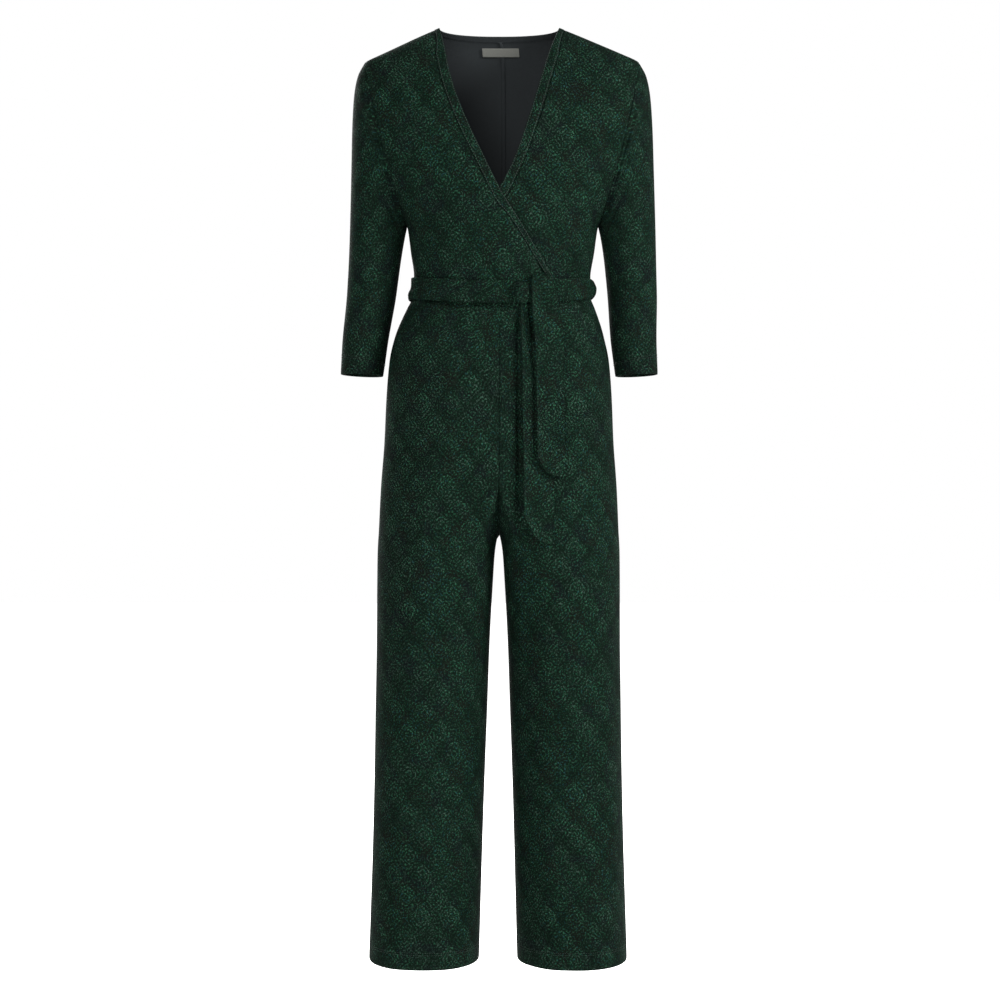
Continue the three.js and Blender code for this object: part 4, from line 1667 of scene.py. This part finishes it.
def colour(red: float, green: float, blue: float) -> tuple[float, float, float, float]:
    """Turn a screen colour out of 255 into a shader colour.

    Args:
        red: Its red.
        green: Its green.
        blue: Its blue.

    Returns:
        The linear colour, with an alpha of 1.
    """
    channels = [c / 255 for c in (red, green, blue)]
    linear = [c / 12.92 if c <= 0.04045 else ((c + 0.055) / 1.055) ** 2.4 for c in channels]
    return (*linear, 1.0)


@dataclass(frozen=True)
class JerseyFinish:
    """Dark green knit with tonal nested lozenges and a fine glittering thread.

    The lozenges lie in a half-drop, and their lines are a few millimetres apart.
    """

    cell_wide: float = 0.046
    cell_high: float = 0.060
    line: float = 0.0052
    dark: tuple[float, float, float] = (2.4, 6.6, 4.2)
    light: tuple[float, float, float] = (7.6, 19.5, 12.6)
    patch: tuple[float, float, float] = (6.2, 7.4, 5.6)
    cool_patch: tuple[float, float, float] = (4.2, 6.6, 7.6)
    green_spark: tuple[float, float, float] = (27, 58, 42)
    grey_spark: tuple[float, float, float] = (38, 53, 46)
    blue_spark: tuple[float, float, float] = (22, 46, 47)

    def build(self) -> bpy.types.Material:
        """Make the material.

        Returns:
            The finished material.
        """
        s = Shader("jersey")
        flat = s.value("ShaderNodeUVMap", {"uv_map": "cloth"}, {})
        split = s.node("ShaderNodeSeparateXYZ", {}, {0: flat})
        x, y = Value(s, split.outputs[0]), Value(s, split.outputs[1])
        # The nearest lozenge of the half-drop, and the place in it
        px, py = x / self.cell_wide, y / self.cell_high
        near = [self.cell(px, py), self.cell(px + 0.5, py + 0.5)]
        first = near[0][2].below(near[1][2])
        reach = near[0][2].least(near[1][2])
        across = first.between(near[1][0], near[0][0])
        up = first.between(near[1][1], near[0][1])
        own = first.between(self.chance(px + 0.5, py + 0.5, 41.0), self.chance(px, py, 7.0))
        # Its nested lines, which fade across it and towards its rim
        wobble = (s.noise(flat, 55.0, 1.0) - 0.5) * 0.006
        lines = ((reach + wobble * 0.25) * (math.tau / self.line)).wave() * 0.5 + 0.5
        lit = (across * 0.9 + up * 1.1 + wobble * 40.0).rise(-0.40, 0.30)
        inner = 1.0 - (reach + wobble).rise(0.0120, 0.0225)
        ring = reach.rise(0.001, 0.009).between(0.55, 1.0)
        # Uneven patches of light and dark
        cloud = s.noise(flat, 24.0, 2.0).rise(0.40, 0.60)
        envelope = inner * ring * lit.between(0.25, 1.0) * own.between(0.5, 1.1)
        envelope = envelope * 0.68 + cloud * 0.26 + 0.17
        tone = (lines * 0.85 + 0.15) * envelope
        brown = s.noise(flat, 31.0, 1.0).rise(0.47, 0.60) * (1.0 - envelope)
        # The glittering thread
        fleck = s.noise(flat, 620.0).rise(0.60, 0.78) * s.noise(flat, 1300.0).rise(0.3, 0.6)
        wide_fleck = s.noise(flat, 400.0).rise(0.62, 0.80)
        glint = fleck.most(wide_fleck * 0.6) * (envelope * lines.between(0.30, 1.45) + 0.16)
        drift = s.noise(flat, 15.0)
        hue = s.noise(flat, 230.0) * 0.7 + drift * 0.3
        spark = s.blend(hue.rise(0.48, 0.60), colour(*self.green_spark), colour(*self.grey_spark))
        spark = s.blend(hue.rise(0.33, 0.40), colour(*self.blue_spark), spark)
        # The colours
        ground = s.blend(tone, colour(*self.dark), colour(*self.light))
        patch = s.blend(drift.rise(0.44, 0.56), colour(*self.patch), colour(*self.cool_patch))
        ground = s.blend(brown, ground, patch)
        ground = s.blend(s.noise(flat, 900.0, 1.0).rise(0.3, 0.7) * 0.4, ground, colour(*self.dark))
        face = s.blend(glint, ground, spark)
        height = s.noise(flat, 1100.0) * 0.5 + lines * 0.3 + glint * 0.6
        bump = s.value("ShaderNodeBump", {}, {"Strength": 0.3, "Distance": 0.0004, "Height": height})
        return s.finish(
            Base_Color=face,
            Roughness=glint.between(0.85, 0.55),
            Metallic=glint * 0.2,
            Normal=bump,
            Specular_IOR_Level=0.015,
        )

    def chance(self, px: Value, py: Value, seed: float) -> Value:
        """Give each cell a chance number of its own from 0 to 1.

        Args:
            px: The place across, in cells.
            py: The place up, in cells.
            seed: What sets one draw apart from another.

        Returns:
            The number.
        """
        shader = px.shader
        corner = shader.value("ShaderNodeCombineXYZ", {}, {0: px.whole() + seed, 1: py.whole()})
        return shader.value("ShaderNodeTexWhiteNoise", {"noise_dimensions": "2D"}, {"Vector": corner})

    def cell(self, px: Value, py: Value) -> tuple[Value, Value, Value]:
        """Give a place's way from the middle of its cell: across, up, and how far in metres.

        Args:
            px: The place across, in cells.
            py: The place up, in cells.

        Returns:
            The two ways, in cells, and the distance.
        """
        across, up = px.part() - 0.5, py.part() - 0.5
        wide, high = abs(across) * self.cell_wide, abs(up) * (self.cell_high * 0.86)
        return across, up, (wide**1.3 + high**1.3) ** (1 / 1.3)


@dataclass(frozen=True)
class PlainFinish:
    """A plain cloth, tape or thread of one colour, very slightly uneven."""

    name: str
    base: tuple[float, float, float]
    roughness: float
    specular: float
    grain: float = 900.0

    def build(self) -> bpy.types.Material:
        """Make the material.

        Returns:
            The finished material.
        """
        s = Shader(self.name)
        place = s.value("ShaderNodeTexCoord", {}, {}, "Object")
        settings = {"noise_dimensions": "3D"}
        noise = s.value("ShaderNodeTexNoise", settings, {"Vector": place, "Scale": self.grain})
        low = tuple(c * 0.8 for c in self.base)
        high = tuple(c * 1.2 for c in self.base)
        face = s.blend(noise, (*low, 1.0), (*high, 1.0))
        bump = s.value("ShaderNodeBump", {}, {"Strength": 0.2, "Distance": 0.0003, "Height": noise})
        return s.finish(
            Base_Color=face,
            Normal=bump,
            Roughness=self.roughness,
            Specular_IOR_Level=self.specular,
        )


@dataclass(frozen=True)
class Stitching:
    """A row of stitches along a line, as small spindles joined in one mesh."""

    line: tuple[Vector, ...]
    pitch: float = 3.4
    long: float = 2.5
    thin: float = 0.2

    def places(self) -> list[tuple[Vector, Vector]]:
        """Give each stitch's middle and direction, in millimetres.

        Returns:
            The pairs, from the start of the line.
        """
        runs = [0.0]
        for a, b in zip(self.line, self.line[1:]):
            runs.append(runs[-1] + (b - a).length)
        count = max(1, int(runs[-1] / self.pitch))
        found = []
        for index in range(count):
            at = (index + 0.5) * runs[-1] / count
            i = int(clamp(bisect_right(runs, at) - 1, 0, len(self.line) - 2))
            a, b = self.line[i], self.line[i + 1]
            share = (at - runs[i]) / max(runs[i + 1] - runs[i], 1e-6)
            found.append((a.lerp(b, share), (b - a).normalized()))
        return found

    def add_to(self, bm: bmesh.types.BMesh) -> None:
        """Add the row's stitches to a mesh.

        Args:
            bm: The mesh.
        """
        size = Matrix.Diagonal((self.thin * MM, self.thin * MM, self.long / 2 * MM, 1))
        for middle, along in self.places():
            turn = along.to_track_quat("Z", "X").to_matrix().to_4x4()
            place = Matrix.Translation(Vector((middle.x + FORM.lean(middle.z), middle.y, middle.z)) * MM)
            bmesh.ops.create_icosphere(bm, subdivisions=1, radius=1, matrix=place @ turn @ size)


def stitch_rows(name: str, rows: Sequence[Stitching], materials: Materials) -> bpy.types.Object:
    """Join rows of stitches in one object.

    Args:
        name: The object's name.
        rows: The rows.
        materials: The finished materials.

    Returns:
        The object.
    """
    bm = bmesh.new()
    for row in rows:
        row.add_to(bm)
    for polygon in bm.faces:
        polygon.smooth = True
    mesh = bpy.data.meshes.new(name)
    bm.to_mesh(mesh)
    bm.free()
    mesh.materials.append(materials.thread)
    obj = bpy.data.objects.new(name, mesh)
    bpy.context.scene.collection.objects.link(obj)
    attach(obj, BODY)
    log.info("%s: %d rows", name, len(rows))
    return obj


def line_of(surface: Surface, places: Sequence[tuple[float, float]], out: float) -> tuple[Vector, ...]:
    """Follow a surface a little way off it.

    Args:
        surface: The surface.
        places: The line's places on it, as shares across and down.
        out: How far off it the line lies, with the sign that turns its normal outwards.

    Returns:
        The line's points, in millimetres.
    """
    found = []
    for u, v in places:
        sideways = surface(u + 1e-3, v) - surface(u - 1e-3, v)
        downwards = surface(u, v + 1e-3) - surface(u, v - 1e-3)
        found.append(surface(u, v) + sideways.cross(downwards).normalized() * out)
    return tuple(found)


@dataclass(frozen=True)
class Bodice:
    """The two fronts of the wrap and the two halves of the back."""

    def make(self, materials: Materials) -> list[bpy.types.Object]:
        """Build the four panels.

        Args:
            materials: The finished materials.

        Returns:
            The objects.
        """
        made = []
        down = np.union1d(spread(54, 1, 1, 420), 1 - np.linspace(0.02, 0.09, 15))
        for side in Side:
            word = side.name.lower()
            front = ClothPiece(
                name=f"front_bodice_{word}",
                surface=FrontCut(side).panel,
                across=spread(36, 1, 1, 190),
                down=down,
                core=Vector((0, 0, -200)),
                lay=Lay.ARC,
                flat=(0.26, 0.42),
                area=0.073,
                seams={
                    Border.START: Seam(carries=True, deep=0.2),
                    Border.END: Seam((0, 1, 0), True, armhole=side),
                    Border.TOP: Seam((0, 1, 0), True),
                    Border.BOTTOM: Seam((0, 0, -1), True),
                },
                ripple=Ripple(0.6, 24, 90, 1.2, BODICE_CREASES),
            )
            back = ClothPiece(
                name=f"back_bodice_{word}",
                surface=BackCut(side).point,
                across=spread(30, 1, 1, 190),
                down=down,
                core=Vector((0, 0, -200)),
                lay=Lay.ARC,
                face=Face.BACK,
                flat=(0.25, 0.42),
                area=0.084,
                seams={
                    Border.START: Seam((0, 0, 1), True, middle=side),
                    Border.END: Seam((0, -1, 0), armhole=side),
                    Border.TOP: Seam((0, -1, 0)),
                    Border.BOTTOM: Seam((0, 0, -1), True),
                },
                ripple=Ripple(0.6, 24, 90, 1.2, BODICE_CREASES),
            )
            made += [front.make(materials), back.make(materials)]
        return made


@dataclass(frozen=True)
class NeckBands:
    """The narrow band round the neck, with its two rows of stitches."""

    def make(self, materials: Materials) -> list[bpy.types.Object]:
        """Build the three stretches of the band and their stitching.

        Args:
            materials: The finished materials.

        Returns:
            The objects.
        """
        made, rows = [], []
        for side in Side:
            cut = FrontCut(side)
            made.append(self.band(f"neck_band_{side.name.lower()}", cut.neck_band, 90, 420, materials))
            for share in (0.10, 0.84):
                places = [(share, 0.02 + 0.974 * i / 120) for i in range(121)]
                line = line_of(cut.neck_band, places, -0.55 * side.value)
                rows.append(Stitching(line, 3.8, 3.1, 0.48))
        back = BackCut(Side.LEFT)
        turned = ClothPiece(
            name="neck_band_back",
            surface=back.neck_band,
            across=spread(44, 1, 1, 230),
            down=np.linspace(0, 1, 7),
            core=Vector((0, 0, -60)),
            lay=Lay.ROW_START,
            flat=(0.26, 0.018),
            area=0.0026,
            held="stretched",
            thick=1.9,
            rounded=True,
            faced=True,
        )
        made.append(turned.make(materials))
        for share in (0.16, 0.84):
            places = [(0.01 + 0.98 * i / 80, share) for i in range(81)]
            rows.append(Stitching(line_of(back.neck_band, places, 0.2)))
        made.append(stitch_rows("neck_band_stitches", rows, materials))
        return made

    def band(
        self, name: str, surface: Surface, count: int, length: float, materials: Materials
    ) -> bpy.types.Object:
        """Build one front stretch of the band.

        Args:
            name: The node's name.
            surface: The band's surface.
            count: How many even rows it has.
            length: Its length, in millimetres.
            materials: The finished materials.

        Returns:
            The object.
        """
        piece = ClothPiece(
            name=name,
            surface=surface,
            across=np.linspace(0, 1, 6),
            down=spread(count, 1, 1, length),
            core=Vector((0, 0, -200)),
            lay=Lay.ROW_START,
            flat=(0.013, 0.46),
            seams={Border.TOP: Seam((0, 1, 0), True, deep=0.0)},
            held="stretched",
            puff=0.9,
            thick=1.9,
            rounded=True,
        )
        return piece.make(materials)


@dataclass(frozen=True)
class Sleeves:
    """The two sleeves, with their turned-up cuffs. The length is from the armhole to the cuff."""

    length: float = 420.0

    def make(self, materials: Materials) -> list[bpy.types.Object]:
        """Build both sleeves and the stitching round their ends.

        Args:
            materials: The finished materials.

        Returns:
            The objects.
        """
        made = []
        for side in Side:
            word = side.name.lower()
            cut = SleeveCut(side)
            piece = ClothPiece(
                name=f"sleeve_{word}",
                surface=cut.point,
                across=np.concatenate([np.linspace(0, 0.5, 30), np.linspace(0.5, 1, 30)]),
                down=spread(66, 1, 0, 430),
                core=Vector((side.value * 190, 6, -280)),
                lay=Lay.ARM,
                flat=(0.35, 0.50),
                area=0.111,
                seams={Border.TOP: Seam(tuple(-FORM.armhole_way * (side.value, 1, 1)), True)},
                loop=True,
                hem=HEM_TURN,
                ripple=Ripple(0.4, 19, 70, 0),
            )
            made.append(piece.make(materials))
            rows = []
            for up in HEM_ROWS:
                places = [(i / 96, 1 - up / self.length) for i in range(97)]
                rows.append(Stitching(line_of(cut.point, places, -0.35 * side.value)))
            made.append(stitch_rows(f"cuff_stitches_{word}", rows, materials))
        return made


@dataclass(frozen=True)
class Legs:
    """The front and back of both legs, from the waist to the turned-up hems."""

    def make(self, materials: Materials) -> list[bpy.types.Object]:
        """Build the four pieces and the stitching round the hems.

        Args:
            materials: The finished materials.

        Returns:
            The objects.
        """
        made = []
        for side in Side:
            rows = []
            for face in Face:
                cut = LegCut(side, face)
                front = face is Face.FRONT
                creased = np.linspace(0.07, 0.25, 13) if front else np.zeros(1)
                piece = ClothPiece(
                    name=f"{face.name.lower()}_leg_{side.name.lower()}",
                    surface=cut.point,
                    across=np.union1d(spread(27, 1, 1, 240), creased),
                    down=np.union1d(spread(112 if front else 92, 1, 0, 1000), np.linspace(0.045, 0.09, 14)),
                    core=Vector((side.value * 95, 0, -900)),
                    lay=Lay.ROW_END,
                    face=face,
                    flat=(0.34, 1.04),
                    area=0.282,
                    seams={
                        Border.START: Seam((0, -face.value, 0), front, middle=side),
                        Border.END: Seam((0, -face.value, 0), front),
                        Border.TOP: Seam((0, 0, 1)),
                    },
                    hem=HEM_TURN,
                    ripple=Ripple(1.1, 27, 210, 1.3, LEG_CREASES),
                )
                made.append(piece.make(materials))
                for up in HEM_ROWS:
                    v = 1 - up / (FORM.crotch_z - FORM.hem_z) * cut.low_rows / cut.rows
                    places = [(0.012 + 0.976 * i / 60, v) for i in range(61)]
                    out = -0.35 * side.value * face.value
                    rows.append(Stitching(line_of(cut.point, places, out)))
            made.append(stitch_rows(f"hem_stitches_{side.name.lower()}", rows, materials))
        return made


@dataclass(frozen=True)
class Belt:
    """The tie belt round the waist, its knot and its two tails."""

    cut: BeltCut = BeltCut()

    def make(self, materials: Materials) -> list[bpy.types.Object]:
        """Build the belt's four stretches.

        Args:
            materials: The finished materials.

        Returns:
            The objects.
        """
        waist = ClothPiece(
            name="belt_waist",
            surface=self.cut.waist,
            across=np.linspace(0, 1, 161),
            down=np.array([0, 0.04, 0.12, 0.22, 0.32, 0.42, 0.52, 0.62, 0.72, 0.82, 0.92, 1.0]),
            core=Vector((0, 0, -398)),
            lay=Lay.ROW_START,
            flat=(0.79, 0.035),
            held="stretched",
            loop=True,
            thick=2.2,
            rounded=True,
        )
        knot = ClothPiece(
            name="belt_knot",
            surface=self.cut.knot,
            across=np.linspace(0, 1, 41),
            down=np.linspace(0, 1, 15) ** 0.8,
            core=Vector((30, -60, -407)),
            lay=Lay.ARC,
            flat=(0.035, 0.04),
            area=0.00105,
            held="folded",
            loop=True,
            thick=1.2,
        )
        made = [waist.make(materials), knot.make(materials)]
        for name, over, length in (("belt_tail_over", True, 0.29), ("belt_tail_under", False, 0.35)):
            tail = ClothPiece(
                name=name,
                surface=self.cut.tail(over),
                across=np.union1d(np.linspace(0, 1, 17), [0.025, 0.975]),
                down=np.union1d(spread(64, 1, 1, 300), np.linspace(0.01, 0.2, 26)),
                core=Vector((60, 0, -560)),
                lay=Lay.ROW_START,
                flat=(0.045, length),
                thick=1.9,
                rounded=True,
            )
            made.append(tail.make(materials))
        return made


@dataclass(frozen=True)
class Label:
    """The bare neck label, sewn on at its two ends."""

    wide: float = 57.0
    high: float = 13.0
    drop: float = 15.0
    clear: float = 1.8

    def surface(self, u: float, v: float) -> Vector:
        """Give a point of the label, inside the back.

        Args:
            u: 0 at its left end and 1 at its right end.
            v: 0 at its upper edge and 1 at its lower edge.

        Returns:
            The point, before the lean.
        """
        z = -self.drop - self.high * v
        turn = FORM.turn_at(self.wide * (u - 0.5), z)
        return FORM.body_point(turn, z, Face.BACK, -FORM.wall - self.clear)

    def make(self, materials: Materials) -> list[bpy.types.Object]:
        """Build the label and the stitches at its ends.

        Args:
            materials: The finished materials.

        Returns:
            The objects.
        """
        tape = ClothPiece(
            name="neck_label",
            surface=self.surface,
            across=spread(18, 1, 1, 57),
            down=np.linspace(0, 1, 7),
            core=Vector((0, 0, -28)),
            lay=Lay.ROW_START,
            flat=(0.057, 0.013),
            thick=0.7,
            rounded=True,
            slot="label",
        )
        rows = []
        for share in (0.045, 0.955):
            places = [(share, 0.06 + 0.88 * i / 10) for i in range(11)]
            rows.append(Stitching(line_of(self.surface, places, -0.15), 2.4, 1.7, 0.22))
        return [tape.make(materials), stitch_rows("label_stitches", rows, materials)]


@dataclass(frozen=True)
class Studio:
    """The pale floor, the soft light and the camera."""

    floor_z: float = -1.5
    camera: tuple[float, float, float] = (0.0, -3.4, -0.708)
    lens: float = 81.6
    aim: tuple[float, float, float] = (0.0, 0.0, -0.6)
    # name, place, side of its square, power
    lights: tuple[tuple[str, tuple[float, float, float], float, float], ...] = (
        ("key", (3.0, -1.9, 1.1), 1.2, 335),
        ("fill", (-0.8, -3.6, 0.4), 1.6, 172),
        ("back", (-1.6, 3.0, 1.0), 2.0, 170),
    )

    def make(self) -> None:
        """Set up the stage."""
        scene = bpy.context.scene
        scene.view_settings.view_transform = "Standard"
        world = bpy.data.worlds.new("studio")
        world.use_nodes = True
        world.node_tree.nodes["Background"].inputs["Color"].default_value = (1, 1, 1, 1)
        world.node_tree.nodes["Background"].inputs["Strength"].default_value = 1.0
        scene.world = world
        self.floor()
        for light in self.lights:
            self.light(*light)
        data = bpy.data.cameras.new("camera")
        data.lens = self.lens
        data.sensor_width = 36
        camera = bpy.data.objects.new("camera", data)
        camera.location = self.camera
        camera.rotation_euler = (math.pi / 2, 0, 0)
        scene.collection.objects.link(camera)
        scene.camera = camera

    def floor(self) -> None:
        """Lay the pale floor."""
        bm = bmesh.new()
        place = Matrix.Translation((0, 0, self.floor_z))
        bmesh.ops.create_grid(bm, x_segments=1, y_segments=1, size=14, matrix=place)
        mesh = bpy.data.meshes.new("floor")
        bm.to_mesh(mesh)
        bm.free()
        shader = Shader("floor")
        pale = (0.97, 0.97, 0.97, 1)
        glow = {"Emission_Color": pale, "Emission_Strength": 0.35}
        mesh.materials.append(shader.finish(Base_Color=pale, Roughness=0.95, **glow))
        obj = bpy.data.objects.new("floor", mesh)
        bpy.context.scene.collection.objects.link(obj)

    def light(self, name: str, place: tuple[float, float, float], size: float, power: float) -> None:
        """Hang one soft light that looks at the garment.

        Args:
            name: The light's name.
            place: Where it hangs, in metres.
            size: The side of its square, in metres.
            power: Its power, in watts.
        """
        data = bpy.data.lights.new(name, "AREA")
        data.size = size
        data.energy = power
        obj = bpy.data.objects.new(name, data)
        obj.location = place
        way = Vector(self.aim) - Vector(place)
        obj.rotation_euler = way.to_track_quat("-Z", "Y").to_euler()
        bpy.context.scene.collection.objects.link(obj)


@dataclass(frozen=True)
class Jumpsuit:
    """The whole garment, from its sub-assemblies."""

    parts: tuple[object, ...] = (Bodice(), NeckBands(), Sleeves(), Legs(), Belt(), Label())

    def make(self) -> None:
        """Build every sub-assembly and then the stage."""
        materials = Materials()
        for part in self.parts:
            made = part.make(materials)
            log.info("%s: %d objects", type(part).__name__, len(made))
        Studio().make()


def main() -> None:
    """Build the scene."""
    logging.basicConfig(level=logging.INFO, format="%(name)s: %(message)s")
    Jumpsuit().make()


if __name__ == "__main__":
    main()
